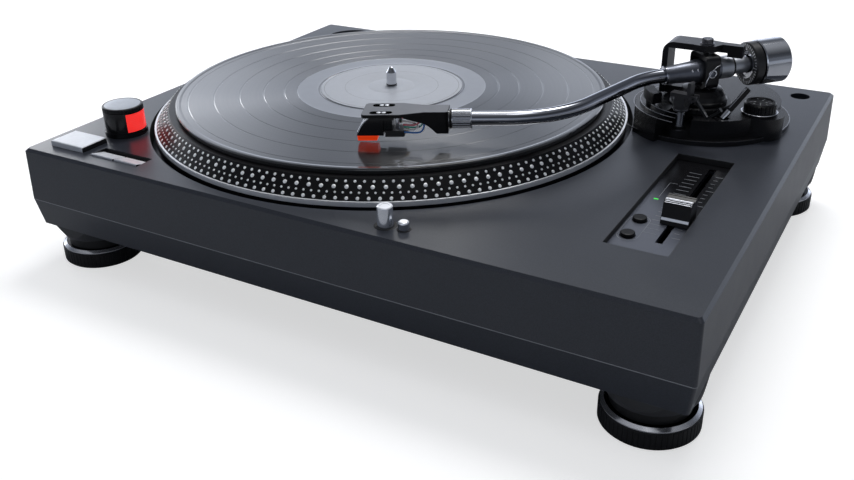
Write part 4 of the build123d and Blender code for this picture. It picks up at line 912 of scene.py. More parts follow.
class Shape:
    """Mesh under construction, in millimetres of its own local frame."""

    def __init__(self) -> None:
        """Starts with no faces."""
        self.mesh = bmesh.new()

    def ring(self, points: Sequence[Point]) -> Row:
        """Adds a row of points."""
        return [self.mesh.verts.new(p) for p in points]

    def skin(self, rings: Sequence[Row], closed: bool = True, looped: bool = False) -> None:
        """Joins neighbouring rows with faces.

        Args:
            rings: rows with the same number of points.
            closed: whether each row runs round to its start.
            looped: whether the last row joins the first.
        """
        count = len(rings[0])
        last = count if closed else count - 1
        pairs = list(zip(rings, rings[1:])) + ([(rings[-1], rings[0])] if looped else [])
        for near, far in pairs:
            for i in range(last):
                j = (i + 1) % count
                self.mesh.faces.new((near[i], near[j], far[j], far[i]))

    def cap(self, row: Row) -> None:
        """Closes a row with one face."""
        self.mesh.faces.new(row)

    def loft(self, rows: Sequence[Row]) -> "Shape":
        """Joins rows with faces and closes both ends.

        Args:
            rows: rows of corners, from one end to the other.

        Returns:
            The shape itself.
        """
        self.skin(rows)
        self.cap(rows[0][::-1])
        self.cap(rows[-1])
        return self

    def turned(self, profile: Outline, segments: int = 96, solid: bool = True,
               at: Outline = ((0, 0),)) -> "Shape":
        """Turns a profile about the local z axis.

        Args:
            profile: (radius, height) points.
            segments: number of steps round the axis.
            solid: whether the profile is a closed loop, rather than a skin capped at both ends.
            at: plan centres, one copy for each.

        Returns:
            The shape itself.
        """
        for cx, cy in at:
            rings = []
            for r, z in profile:
                turn = [2 * math.pi * i / segments for i in range(segments)]
                rings.append(self.ring([(cx + r * math.cos(a), cy + r * math.sin(a), z) for a in turn]))
            self.skin(rings, looped=solid)
            if not solid:
                self.cap(rings[0][::-1])
                self.cap(rings[-1])
        return self

    def swung(self, profile: Outline, start: float, stop: float, steps: int = 96,
              at: Pair = (0, 0)) -> "Shape":
        """Turns a closed profile through part of a circle.

        Args:
            profile: (radius, height) points.
            start: first angle, in degrees.
            stop: last angle, in degrees.
            steps: number of steps.
            at: plan centre.

        Returns:
            The shape itself.
        """
        rings = []
        for i in range(steps + 1):
            a = math.radians(start + (stop - start) * i / steps)
            rings.append(self.ring([(at[0] + r * math.cos(a), at[1] + r * math.sin(a), z)
                                    for r, z in profile]))
        return self.loft(rings)

    def raised(self, outline: Outline, low: float, high: float) -> "Shape":
        """Raises a closed plan outline between two heights.

        Args:
            outline: plan outline, counterclockwise.
            low: lower height in millimetres.
            high: upper height in millimetres.

        Returns:
            The shape itself.
        """
        bottom = self.ring([(x, y, low) for x, y in outline])
        top = self.ring([(x, y, high) for x, y in outline])
        return self.loft([bottom, top])

    def bar(self, start: Pair, end: Pair, width: float, low: float, high: float) -> "Shape":
        """Raised straight stroke between two plan points.

        Args:
            start: plan point at one end.
            end: plan point at the other end.
            width: width of the stroke in millimetres.
            low: lower height in millimetres.
            high: upper height in millimetres.

        Returns:
            The shape itself.
        """
        a, b = Vector(start), Vector(end)
        side = (b - a).normalized().orthogonal() * width / 2
        corners = [a + side, a - side, b - side, b + side]
        return self.raised([tuple(c) for c in corners], low, high)

    def pipe(self, path: Sequence[Point], radius: float, sides: int = 12) -> "Shape":
        """Round tube along a path, with closed ends.

        Args:
            path: points of the centre line.
            radius: tube radius.
            sides: number of faces round the tube.

        Returns:
            The shape itself.
        """
        points = [Vector(p) for p in path]
        rings = []
        side = (points[1] - points[0]).orthogonal().normalized()
        for i, p in enumerate(points):
            ahead = (points[min(i + 1, len(points) - 1)] - points[max(i - 1, 0)]).normalized()
            side = (side - ahead * side.dot(ahead)).normalized()
            other = ahead.cross(side)
            turn = [2 * math.pi * k / sides for k in range(sides)]
            rings.append(self.ring([tuple(p + radius * (side * math.cos(a) + other * math.sin(a)))
                                    for a in turn]))
        return self.loft(rings)

    def figure(self, text: str, size: float, at: Matrix, thick: float = 0.06) -> "Shape":
        """Adds a plain number as thin raised strokes.

        Args:
            text: the digits.
            size: height of the type, in millimetres.
            at: place of its middle within the local frame.
            thick: height of the strokes.

        Returns:
            The shape itself.
        """
        curve = bpy.data.curves.new("figure", "FONT")
        curve.body = text
        curve.size = size
        curve.align_x = "CENTER"
        curve.align_y = "CENTER"
        curve.extrude = thick / 2
        helper = bpy.data.objects.new("figure", curve)
        mesh = bpy.data.meshes.new_from_object(helper)
        mesh.transform(at)
        self.mesh.from_mesh(mesh)
        bpy.data.objects.remove(helper)
        bpy.data.curves.remove(curve)
        bpy.data.meshes.remove(mesh)
        return self

    def lay(self, name: str, frame_at: Matrix, finish: Finish, body: str, slot: Slot,
            sharp: float = 35.0) -> bpy.types.Object:
        """Ends the shape and lays it in the frame as a piece.

        Args:
            name: the piece's name.
            frame_at: its local frame.
            finish: its finish.
            body: the body that it moves with.
            slot: the record's material slot it belongs to; not used.
            sharp: edges over this angle stay sharp, in degrees.

        Returns:
            The new object.
        """
        bmesh.ops.recalc_face_normals(self.mesh, faces=self.mesh.faces)
        mesh = bpy.data.meshes.new(name)
        self.mesh.to_mesh(mesh)
        self.mesh.free()
        mesh.transform(frame_at)
        mesh.polygons.foreach_set("use_smooth", [True] * len(mesh.polygons))
        mesh.set_sharp_from_angle(angle=math.radians(sharp))
        mesh.materials.append(finish.make())
        piece = bpy.data.objects.new(name, mesh)
        bpy.context.scene.collection.objects.link(piece)
        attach(piece, body)
        log.info("%s: %d faces", name, len(mesh.polygons))
        return piece


def dress(finish: Finish, *nodes: str) -> None:
    """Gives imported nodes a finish.

    Args:
        finish: finish to give.
        nodes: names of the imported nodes.
    """
    for name in nodes:
        slots = frame["nodes"][name].data.materials
        slots.clear()
        slots.append(finish.make())
        log.info("%s: %s", name, finish.name)


def arc(radius: float, start: float, stop: float, steps: int, at: Pair = (0, 0)) -> list[Pair]:
    """Plan points along an arc.

    Args:
        radius: its radius.
        start: first angle, in degrees.
        stop: last angle, in degrees.
        steps: number of steps.
        at: its centre.

    Returns:
        The points from start to stop.
    """
    turn = [math.radians(start + (stop - start) * i / steps) for i in range(steps + 1)]
    return [(at[0] + radius * math.cos(a), at[1] + radius * math.sin(a)) for a in turn]


def polar(radius: float, angle: float) -> Pair:
    """Plan point at a distance from the origin, at an angle in radians."""
    return radius * math.cos(angle), radius * math.sin(angle)


def band(inner: float, outer: float, low: float, high: float) -> list[Pair]:
    """Corners of a rectangle, for a plan outline or for the profile of a ring."""
    return [(inner, low), (outer, low), (outer, high), (inner, high)]


def bead(radius: float, height: float, thick: float, steps: int = 8) -> list[Pair]:
    """Closed round profile of a ring, for turning."""
    return arc(thick, 0, 360 * (1 - 1 / steps), steps - 1, (radius, height))


def corners(x: float, y: float, inset: float) -> list[Pair]:
    """Corners of a rectangle from the origin, drawn in by an inset."""
    return [(inset, inset), (x - inset, inset), (x - inset, y - inset), (inset, y - inset)]


def curve_through(points: Sequence[Point], steps: int) -> list[Point]:
    """Smooth line through a few points.

    Args:
        points: the points to pass through.
        steps: number of steps between two of them.

    Returns:
        Points along the line.
    """
    known = [Vector(p) for p in points]
    padded = [2 * known[0] - known[1]] + known + [2 * known[-1] - known[-2]]
    line = []
    for a, b, c, d in zip(padded, padded[1:], padded[2:], padded[3:]):
        for i in range(steps):
            t = i / steps
            line.append(tuple(0.5 * (2 * b + (c - a) * t + (2 * a - 5 * b + 4 * c - d) * t ** 2
                                     + (3 * b - a - 3 * c + d) * t ** 3)))
    return line + [tuple(known[-1])]


# ---------------------------------------------------------------- sub-assemblies

@dataclass
class Case:
    """Deck and case, with black walls in the recesses, a black ring of painted shade in the platter well and
    a painted highlight along the fold of the walls.
    """

    liner: float = 0.12
    crease: Pair = (224.0, 175.0)
    crease_levels: Pair = (46.45, 46.98)
    crease_inset: Pair = (0.05, 0.4)
    corner: float = 2.0
    well: float = 169.75
    well_levels: Pair = (-11.8, -0.5)
    panel_depth: float = 3.55

    def dress(self) -> None:
        """Finishes of the case's own nodes."""
        dress(Palette.deck, "top_chassis")
        dress(Palette.case, "base_cover")
        dress(Palette.screw, "base_screws")

    def seam(self) -> None:
        """Thin pale line along the fold between the upright walls and the tucked-in foot of the case: a
        painted highlight where the fold catches the light.
        """
        shape = Shape()
        rows = []
        (low, high), (slight, deepest) = self.crease_levels, self.crease_inset
        for height, inset in ((high, 0.0), (low, slight), (low, deepest), (high, deepest)):
            wide, deep = (v - inset for v in self.crease)
            outline = []
            for (x, y), start in zip(((wide, deep), (-wide, deep), (-wide, -deep), (wide, -deep)),
                                     (0, 90, 180, 270)):
                outline += arc(self.corner, start, start + 90, 6, (x, y))
            rows.append(shape.ring([(x, y, height) for x, y in outline]))
        shape.skin(rows, looped=True)
        shape.lay("case_crease_highlight", place(Vector((0.0, 0.0, 0.0))), Palette.seam, "chassis", Slot.CASE)

    def tray(self, name: str, low: Vector, high: Vector) -> None:
        """Thin black walls and floor laid in a rectangular recess.

        Args:
            name: the piece's name.
            low: lowest corner of the recess, in metres.
            high: highest corner of the recess, in metres.
        """
        x, y, z = (high - low) / MM
        t, shape = self.liner, Shape()
        outer, inner = corners(x, y, 0), corners(x, y, t)
        rows = [shape.ring([(a, b, h) for a, b in line]) for line, h in
                ((outer, 0.0), (outer, z - 0.25), (inner, z - 0.25), (inner, t))]
        shape.loft(rows)
        shape.lay(name, place(low), Palette.black_liner, "chassis", Slot.CASE)

    def build(self) -> None:
        """Black walls and floor in the speed recess, black walls in the pitch recess and a black ring of
        painted shade in the platter well.
        """
        self.dress()
        low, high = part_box("speed_33_button")
        _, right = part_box("speed_45_button")
        edge = 0.7 * MM
        self.tray("speed_recess_black", Vector((low.x - edge, low.y - edge, DECK - 6.9 * MM)),
                  Vector((right.x + edge, high.y + 2.1 * MM, DECK)))
        panel_low, panel_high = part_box("pitch_panel")
        shape = Shape()
        x, y = (panel_high - panel_low).xy / MM
        outer, inner = corners(x, y, -0.1), corners(x, y, self.liner)
        rows = [shape.ring([(a, b, h) for a, b in line]) for line, h in
                ((outer, 0.0), (outer, self.panel_depth), (inner, self.panel_depth), (inner, 0.0))]
        shape.skin(rows, looped=True)
        shape.lay("pitch_recess_black", place(Vector((panel_low.x, panel_low.y, panel_high.z))),
                  Palette.black_liner, "chassis", Slot.CASE)
        self.seam()
        # The platter well is painted like the deck; the black ring laid in it is painted shade in the gap
        # round the platter.
        well, (low, high) = self.well, self.well_levels
        Shape().turned(band(well - 0.15, well, low, high), 256).lay(
            "platter_well_painted_shade", AT_SPINDLE, Palette.black_liner, "chassis", Slot.CASE)


@dataclass
class PlatterSet:
    """Platter with its strobe dots and bright edge, felt mat, record and spindle ring."""

    counts: tuple[int, ...] = (160, 216, 133, 180)
    radii: tuple[float, ...] = (1.06, 0.70, 1.24, 0.86)
    low: Pair = (164.5, 3.2)
    high: Pair = (155.3, 13.2)
    dot_height: float = 0.38
    edge: float = 166.0
    groove_drop: float = 0.25
    gaps: tuple[float, ...] = (142.0, 124.5, 107.0, 90.5, 76.0)
    hole: float = 3.62
    ink: tuple[Pair, ...] = ((47.6, 0.3), (33.0, 0.2))

    def dots(self) -> None:
        """Four rows of raised dots on the sloping rim, the outermost first."""
        slope = Vector((self.high[0] - self.low[0], self.high[1] - self.low[1]))
        out = Vector((slope.y, -slope.x)).normalized()
        rows = len(self.counts)
        for row, (count, radius) in enumerate(zip(self.counts, self.radii)):
            middle_at = Vector(self.low) + slope * (row + 0.5) / rows
            shape = Shape()
            for k in range(count):
                turn = Matrix.Rotation(2 * math.pi * k / count, 4, "Z")
                tilt = math.atan2(out.x, out.y)
                spot = (turn @ Matrix.Translation((middle_at.x, 0, middle_at.y))
                        @ Matrix.Rotation(tilt, 4, "Y"))
                rings = []
                for share, lift in ((1.0, -0.25), (1.0, self.dot_height * 0.55), (0.78, self.dot_height)):
                    ring = [spot @ Vector((x, y, lift)) for x, y in arc(radius * share, 0, 360 * 13 / 14, 13)]
                    rings.append(shape.ring([tuple(p) for p in ring]))
                shape.skin(rings)
                shape.cap(rings[-1])
                shape.cap(rings[0][::-1])
            shape.lay(f"strobe_dots_{row + 1}", AT_SPINDLE, Palette.dot, "platter", Slot.PLATTER)

    def record(self) -> None:
        """Record with its rim bead, track bands, run-out area, raised label and centre hole."""
        low, high = ((corner.z - DECK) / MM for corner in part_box("record"))
        groove = high - self.groove_drop
        profile = [(self.hole, low), (149.9, low), (150.5, low + 0.7), (150.42, low + 1.1),
                   (150.1, groove + 0.12), (149.3, groove + 0.2), (147.9, groove + 0.2),
                   (147.1, groove + 0.1), (146.5, groove)]
        for r in self.gaps:
            profile += [(r + 0.55, groove), (r + 0.4, groove - 0.09), (r - 0.4, groove - 0.09),
                        (r - 0.55, groove)]
        profile += [(66.9, groove), (66.6, groove - 0.1), (53.4, groove - 0.1), (52.6, groove),
                    (51.0, groove + 0.05), (50.6, groove - 0.05), (50.2, groove + 0.05), (50.2, groove),
                    (self.hole, groove)]
        made = Shape().turned(profile, 288).lay("record_disc", AT_SPINDLE, Palette.vinyl, "record",
                                                Slot.VINYL, 3)
        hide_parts("record")
        label = [(3.9, high - 0.3), (50.0, high - 0.3), (50.0, high - 0.02), (49.7, high), (17.2, high),
                 (16.9, high - 0.06), (16.3, high - 0.06), (16.0, high), (4.1, high), (3.9, high - 0.05)]
        Shape().turned(label, 192).lay("record_label", AT_SPINDLE, Palette.label, "record", Slot.VINYL, 20)
        # Run-out area in grey: a painted reflection on the smooth vinyl.
        out = [(50.3, groove - 0.1), (52.4, groove + 0.04), (53.6, groove - 0.04), (66.2, groove - 0.04),
               (66.7, groove + 0.03), (66.9, groove - 0.1)]
        Shape().turned(out, 192).lay("record_run_out", AT_SPINDLE, Palette.vinyl_plain, "record",
                                     Slot.VINYL, 3)
        ink = Shape()
        for r, width in self.ink:
            ink.turned(band(r, r + width, high - 0.05, high + 0.012), 192)
        ink.lay("label_rings", AT_SPINDLE, Palette.label_ink, "record", Slot.VINYL)

    def build(self) -> None:
        """The platter's own nodes and the pieces on them."""
        dress(Palette.rim_black, "platter")
        dress(Palette.magnet, "rotor_magnet")
        dress(Palette.spindle, "spindle")
        dress(Palette.felt, "slipmat")
        dress(Palette.vinyl, "record")
        self.dots()
        r, t = self.edge, 0.05
        inner = self.low[0] + 0.1
        flange = [(inner, 3.1), (inner, 3.2 + t), (r - 0.2, 3.2 + t), (r + t, 2.95), (r + t, 0.4),
                  (r - 0.1, 0.4)]
        Shape().turned(flange, 288).lay("platter_bright_edge", AT_SPINDLE, Palette.rim_bright, "platter",
                                        Slot.PLATTER)
        self.record()
        Shape().turned(bead(3.35, 18.1, 0.5), 48).lay("spindle_ring", AT_SPINDLE, Palette.black_liner,
                                                      "platter", Slot.SPINDLE)


@dataclass
class StrobeTower:
    """Power tower: gloss black barrel, lit red window and the turning cap with its pale disc."""

    disc: float = 12.5

    def build(self) -> None:
        """Finishes, and the disc let into the cap."""
        dress(Palette.tower, "strobe_tower")
        dress(Palette.window, "strobe_window")
        dress(Palette.knob, "power_knob")
        top = (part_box("power_knob")[1].z - DECK) / MM
        seat = top - 0.2
        at = on_deck(*origin("power_turn").xy)
        profile = [(0.01, seat - 0.1), (self.disc, seat - 0.1), (self.disc, seat + 0.1),
                   (self.disc - 0.25, seat + 0.18), (self.disc * 0.5, seat + 0.14), (0.01, seat + 0.12)]
        Shape().turned(profile, 96, solid=False).lay("power_knob_disc", at, Palette.knob_disc, "power_knob",
                                                     Slot.KNOB)


@dataclass
class DeckButtons:
    """Start button, speed buttons, light button and the pop-up light."""

    key_profile: tuple[Pair, ...] = ((0.0, -3.6), (0.0, 0.7), (0.35, 1.1), (10.5, -1.5), (10.8, -1.8),
                                                    (10.8, -3.6))

    post: float = 4.6
    post_foot: float = -14.0
    plunger: float = 3.15
    collar_reach: Pair = (6.5, 4.05)
    lens_turn: float = 122.0
    lens_height: float = 7.7
    lens_out: float = 3.9

    def key(self, name: str) -> None:
        """Speed button as a key that slopes down towards the back of its recess.

        Args:
            name: the button's node and body.
        """
        low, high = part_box(name)
        width = (high.x - low.x) / MM
        shape = Shape()
        rows = []
        for x, inset in ((0.0, 0.35), (0.4, 0.0), (width - 0.4, 0.0), (width, 0.35)):
            rows.append(shape.ring([(x, y, z - inset if z > -3.0 else z) for y, z in self.key_profile]))
        shape.loft(rows)
        piece = shape.lay(f"{name}_key", place(Vector((low.x, low.y + 0.1 * MM, DECK))), Palette.silver_cap,
                          name, Slot.BUTTON, 20)
        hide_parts(name)

    def build(self) -> None:
        """Finishes, the collars round the two plungers and the light's lens."""
        dress(Palette.plunger, "light_button")
        dress(Palette.silver_cap, "start_stop_button")
        for name in ("speed_33_button", "speed_45_button"):
            self.key(name)
        for name, radius, reach in (("target_light", self.post, self.collar_reach[0]),
                                    ("light_button", self.plunger, self.collar_reach[1])):
            centre = middle(name)
            profile = [(radius + 0.12, -0.4), (reach, -0.4), (reach, 0.08), (reach - 0.2, 0.16),
                       (radius + 0.3, 0.16), (radius + 0.12, 0.08)]
            Shape().turned(profile, 64).lay(f"{name}_collar", on_deck(centre.x, centre.y),
                                            Palette.black_liner, "chassis", Slot.CASE)
        centre = middle("target_light")
        top = (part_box("target_light")[1].z - DECK) / MM
        post = [(0.01, self.post_foot), (self.post, self.post_foot), (self.post, top - 0.9),
                (4.45, top - 0.35), (4.0, top), (2.6, top), (2.5, top - 0.15), (0.01, top - 0.15)]
        made = Shape().turned(post, 72, solid=False).lay("target_light_post", on_deck(centre.x, centre.y),
                                                         Palette.plunger, "target_light", Slot.BUTTON)
        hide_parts("target_light")
        lens = Shape().turned([(0.01, 0.0), (1.5, 0.0), (1.5, 0.3), (1.1, 0.7), (0.01, 0.85)], 32,
                              solid=False)
        turn = math.radians(self.lens_turn)
        out = Vector((*polar(1.0, turn), 0.0))
        at = facing(Vector((centre.x, centre.y, DECK + self.lens_height * MM)) + out * self.lens_out * MM,
                    out, UP)
        lens.lay("target_light_lens", at, Palette.lens, "target_light", Slot.BUTTON)


@dataclass
class PitchControl:
    """Pitch recess: gloss panel with its scale, slot, fader, lamp and two buttons."""

    mark: float = 0.05
    stroke: float = 0.45
    mark_gap: float = 4.2
    mark_step: float = 5.6
    mark_lengths: tuple[float, float, float] = (7.4, 4.6, 2.6)
    loop: Pair = (5.6, 5.95)
    loop_side: float = 5.78
    loop_stroke: float = 0.35
    tail: tuple[float, float, float] = (4.2, 26.0, 13.0)
    tail_stroke: float = 0.3
    lamp_bar: tuple[Pair, ...] = ((-1.25, -0.42), (1.25, -0.42), (1.4, 0.0), (1.25, 0.42), (-1.25, 0.42),
                                  (-1.4, 0.0))
    cap_span: Pair = (0.20, 0.33)

    def build(self) -> None:
        """Finishes, the scale beside the slot, the printed lines round the buttons and the lamp."""
        dress(Palette.pitch_panel, "pitch_panel")
        dress(Palette.pitch_cap, "fader_track", "pitch_fader", "pitch_reset_button", "pitch_range_button")
        low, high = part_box("pitch_panel")
        fader = middle("pitch_fader")
        slot_x = (fader.x - low.x) / MM - 1.6
        at = place(Vector((low.x, low.y, high.z)))
        mid = sum(joint("pitch_fader_slide")["range_m"]) / 2
        zero = (fader.y + mid - low.y) / MM
        marks = Shape()
        for side in (-1, 1):
            for k in range(-8, 9):
                left_side, main_mark, small_mark = self.mark_lengths
                long = left_side if side < 0 else main_mark if k % 4 == 0 else small_mark
                near = slot_x + side * self.mark_gap
                y = zero + k * self.mark_step
                marks.bar((near, y), (near + side * long, y), self.stroke, 0.0, self.mark)
        marks.lay("pitch_scale", at, Palette.print_faint, "chassis", Slot.PITCH)
        lines = Shape()
        button_a, button_b = middle("pitch_reset_button"), middle("pitch_range_button")
        left = (button_a.x - low.x) / MM
        spots = sorted((c.y - low.y) / MM for c in (button_a, button_b))
        near, far = self.loop
        for y, start in zip(spots, (180.0, 0.0)):
            lines.swung(band(near, far, 0.0, self.mark), start, start + 180.0, 32,
                        (left, y))
        for side in (-self.loop_side, self.loop_side):
            lines.bar((left + side, spots[0]), (left + side, spots[1]), self.loop_stroke, 0.0, self.mark)
        lamp = middle("pitch_led")
        top = (lamp.y - low.y) / MM
        start, bend, back = self.tail
        lines.bar((left, top + start), (left, top + bend), self.tail_stroke, 0.0, self.mark)
        lines.bar((left, top + bend), (slot_x - back, top + bend), self.tail_stroke, 0.0, self.mark)
        lines.lay("pitch_lines", at, Palette.print_faint, "chassis", Slot.PITCH)
        bar = Shape().raised(self.lamp_bar, -0.4, 0.35).lay(
            "pitch_lamp_bar", place(Vector((lamp.x, lamp.y, high.z))), Palette.lamp, "chassis", Slot.LAMP)
        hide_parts("pitch_led")
        self.cap()

    def cap(self) -> None:
        """Index line low on the fader's front and the fine grip ridges along its top."""
        low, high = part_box("pitch_fader")
        base = DECK - 3.7 * MM
        x0, x1 = self.cap_span
        at = place(Vector((low.x, low.y, base)))
        width = (high.x - low.x) / MM
        foot, head = Vector((0.0, 0.6)), Vector((3.3, 12.0))
        out = Vector((-(head - foot).y, (head - foot).x)).normalized()
        line = Shape()
        rows = []
        for share, lift in ((x0, -0.1), (x0, 0.1), (x1, 0.1), (x1, -0.1)):
            spot = foot + (head - foot) * share + out * lift
            rows.append(line.ring([(x, spot.x, spot.y) for x in (0.25, width - 0.25)]))
        line.skin(rows, closed=False, looped=True)
        line.cap([row[0] for row in rows])
        line.cap([row[1] for row in rows][::-1])
        line.lay("fader_line", at, Palette.trim, "pitch_fader", Slot.PITCH)
        ridges = Shape()
        for y, z in ((3.7, 12.3), (4.55, 12.85), (5.4, 13.4), (6.1, 13.6), (6.9, 13.35)):
            ridges.pipe([(0.4, y, z), (width - 0.4, y, z)], 0.24, 8)
        # The ridges' pale colour is a painted highlight.
        ridges.lay("fader_ridges", at, Palette.edge, "pitch_fader", Slot.PITCH)


@dataclass
class TonearmBase:
    """Housing, pillar and controls under the tonearm."""

    flange_at: Pair = (-5.5, 22.0)
    flange: Pair = (59.5, 3.0)
    tiers: tuple[Pair, ...] = ((43.4, 16.0), (39.2, 17.5), (35.4, 19.0))
    tier_angles: Pair = (150.0, 262.0)
    post_at: Pair = (-5.5, -27.4)
    dial_marks: tuple[float, float, float] = (5.2, 7.0, 3.6)
    lever_lean: float = 42.0
    lever_grip: Pair = (11.0, 28.0)

    def build(self) -> None:
        """Finishes, the bright edges of the housing and the bright parts of its controls."""
        dress(Palette.base, "arm_base")
        dress(Palette.pillar, "arm_pillar", "height_ring")
        dress(Palette.cap_nut, "pivot_nut")
        dress(Palette.gimbal, "rest_clip", "height_lock")
        dress(Palette.post, "rest_post")
        dress(Palette.lever, "cue_lever", "lifter", "anti_skate_dial")
        self.edges()
        self.skate()
        self.post()
        self.cue()
        self.lock()
        self.web()

    def edges(self) -> None:
        """Painted highlights along the flange and the steps of the housing, and painted shade on the flange's
        front.
        """
        at = AT_PIVOT
        shape = Shape()
        for radius, top in self.tiers:
            edge = [(radius - 0.28, top - 0.05), (radius - 0.28, top + 0.04), (radius + 0.03, top + 0.02),
                    (radius + 0.04, top - 0.28), (radius - 0.05, top - 0.3)]
            shape.swung(edge, *self.tier_angles)
        shape.lay("housing_edges", at, Palette.edge, "chassis", Slot.BASE)
        radius, top = self.flange
        rim = [(radius - 0.45, top - 0.05), (radius - 0.45, top + 0.04), (radius + 0.04, top + 0.03),
               (radius + 0.05, top - 0.5), (radius - 0.05, top - 0.5)]
        for name, start, stop, finish in (("flange_edge", -12.0, 62.0, Palette.edge),
                                          ("flange_edge_front", -128.0, -12.2, Palette.edge_dim)):
            Shape().swung(rim, start, stop, at=self.flange_at).lay(name, at, finish, "chassis", Slot.BASE)

    def skate(self) -> None:
        """Bright ring and scale of the side-force dial."""
        at = on_deck(*origin("anti_skate_turn").xy)
        Shape().turned([(10.38, 15.98), (11.25, 15.98), (11.55, 16.12), (11.25, 16.32),
                        (10.38, 16.3)], 96).lay(
            "skate_dial_ring", at, Palette.steel, "chassis", Slot.BRIGHT)
        top = (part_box("anti_skate_dial")[1].z - DECK) / MM
        marks = Shape()
        for k in range(8):
            angle = math.radians(200 + 40 * k)
            near, far, middle_of = (polar(r, angle) for r in self.dial_marks)
            marks.bar(near, far, 0.4, top - 0.42, top - 0.36)
            spot = Matrix.Translation((*middle_of, top - 0.38))
            if k % 2 == 0:
                marks.figure(str(k), 2.3, spot @ Matrix.Rotation(angle - math.pi / 2, 4, "Z"))
        marks.lay("skate_dial_scale", at, Palette.print_white, "anti_skate_dial", Slot.LEVER)

    def post(self) -> None:
        """Bright sleeve on the arm rest's post, its foot ring and two bright rings round the rest's head."""
        at = on_deck(PIVOT.x + self.post_at[0] * MM, PIVOT.y + self.post_at[1] * MM)
        Shape().turned(band(3.02, 3.12, 8.4, 18.9), 48).lay(
            "rest_post_sleeve", at, Palette.steel, "arm_pillar", Slot.POST)
        collar = [(3.1, 8.05), (4.6, 8.05), (4.7, 8.3), (4.3, 8.9), (3.1, 9.0)]
        Shape().turned(collar, 48).lay("rest_post_collar", at, Palette.lever, "chassis", Slot.BASE)
        rings = Shape().turned([(4.62, 20.0), (5.26, 20.3), (5.26, 20.6), (5.1, 20.6)], 64)
        rings.turned([(5.1, 26.6), (5.26, 26.6), (5.26, 26.9), (5.1, 27.0)], 64)
        rings.lay("rest_head_rings", at, Palette.steel, "arm_pillar", Slot.POST)

    def cue(self) -> None:
        """Bright sleeve on the lift lever's stem and a bright edge along its grip."""
        lean = math.radians(self.lever_lean)
        flat = Vector((AHEAD.x, AHEAD.y, 0.0)).normalized()
        up = -flat * math.sin(lean) + Vector((0, 0, math.cos(lean)))
        at = facing(origin("cue_lever_turn"), up, flat)
        low, high = self.lever_grip
        Shape().turned(band(1.92, 2.02, 3.4, low - 1.2), 40).lay(
            "cue_lever_stem_sleeve", at, Palette.steel, "cue_lever", Slot.BRIGHT)
        edge = Shape()
        near = edge.ring([(1.66, -1.0, low), (1.66, 1.0, low), (1.66, 1.0, high - 0.8),
                          (1.66, -1.0, high - 0.8)])
        far = edge.ring([(1.76, -0.85, low + 0.2), (1.76, 0.85, low + 0.2), (1.76, 0.85, high - 1.0),
                         (1.76, -0.85, high - 1.0)])
        edge.loft([near, far])
        edge.lay("cue_lever_edge", at, Palette.steel, "cue_lever", Slot.BRIGHT)

    def web(self) -> None:
        """Stiffening web under the bridge, behind its nut."""
        Shape().raised(band(1.5, 12.6, 4.2, 9.2), 50.55, 52.2).lay(
            "bridge_web", AT_PIVOT, Palette.pillar, "arm_pillar", Slot.PILLAR)

    def lock(self) -> None:
        """Bright cap on the end of the height lock."""
        out = axis("height_lock_turn")
        at = facing(Vector((PIVOT.x, PIVOT.y, middle("height_lock").z)), out, UP)
        cap = [(0.01, 19.3), (2.3, 19.3), (2.3, 19.75), (1.9, 19.98), (0.01, 20.05)]
        Shape().turned(cap, 40, solid=False).lay("height_lock_cap", at, Palette.steel, "height_lock",
                                                 Slot.BRIGHT)


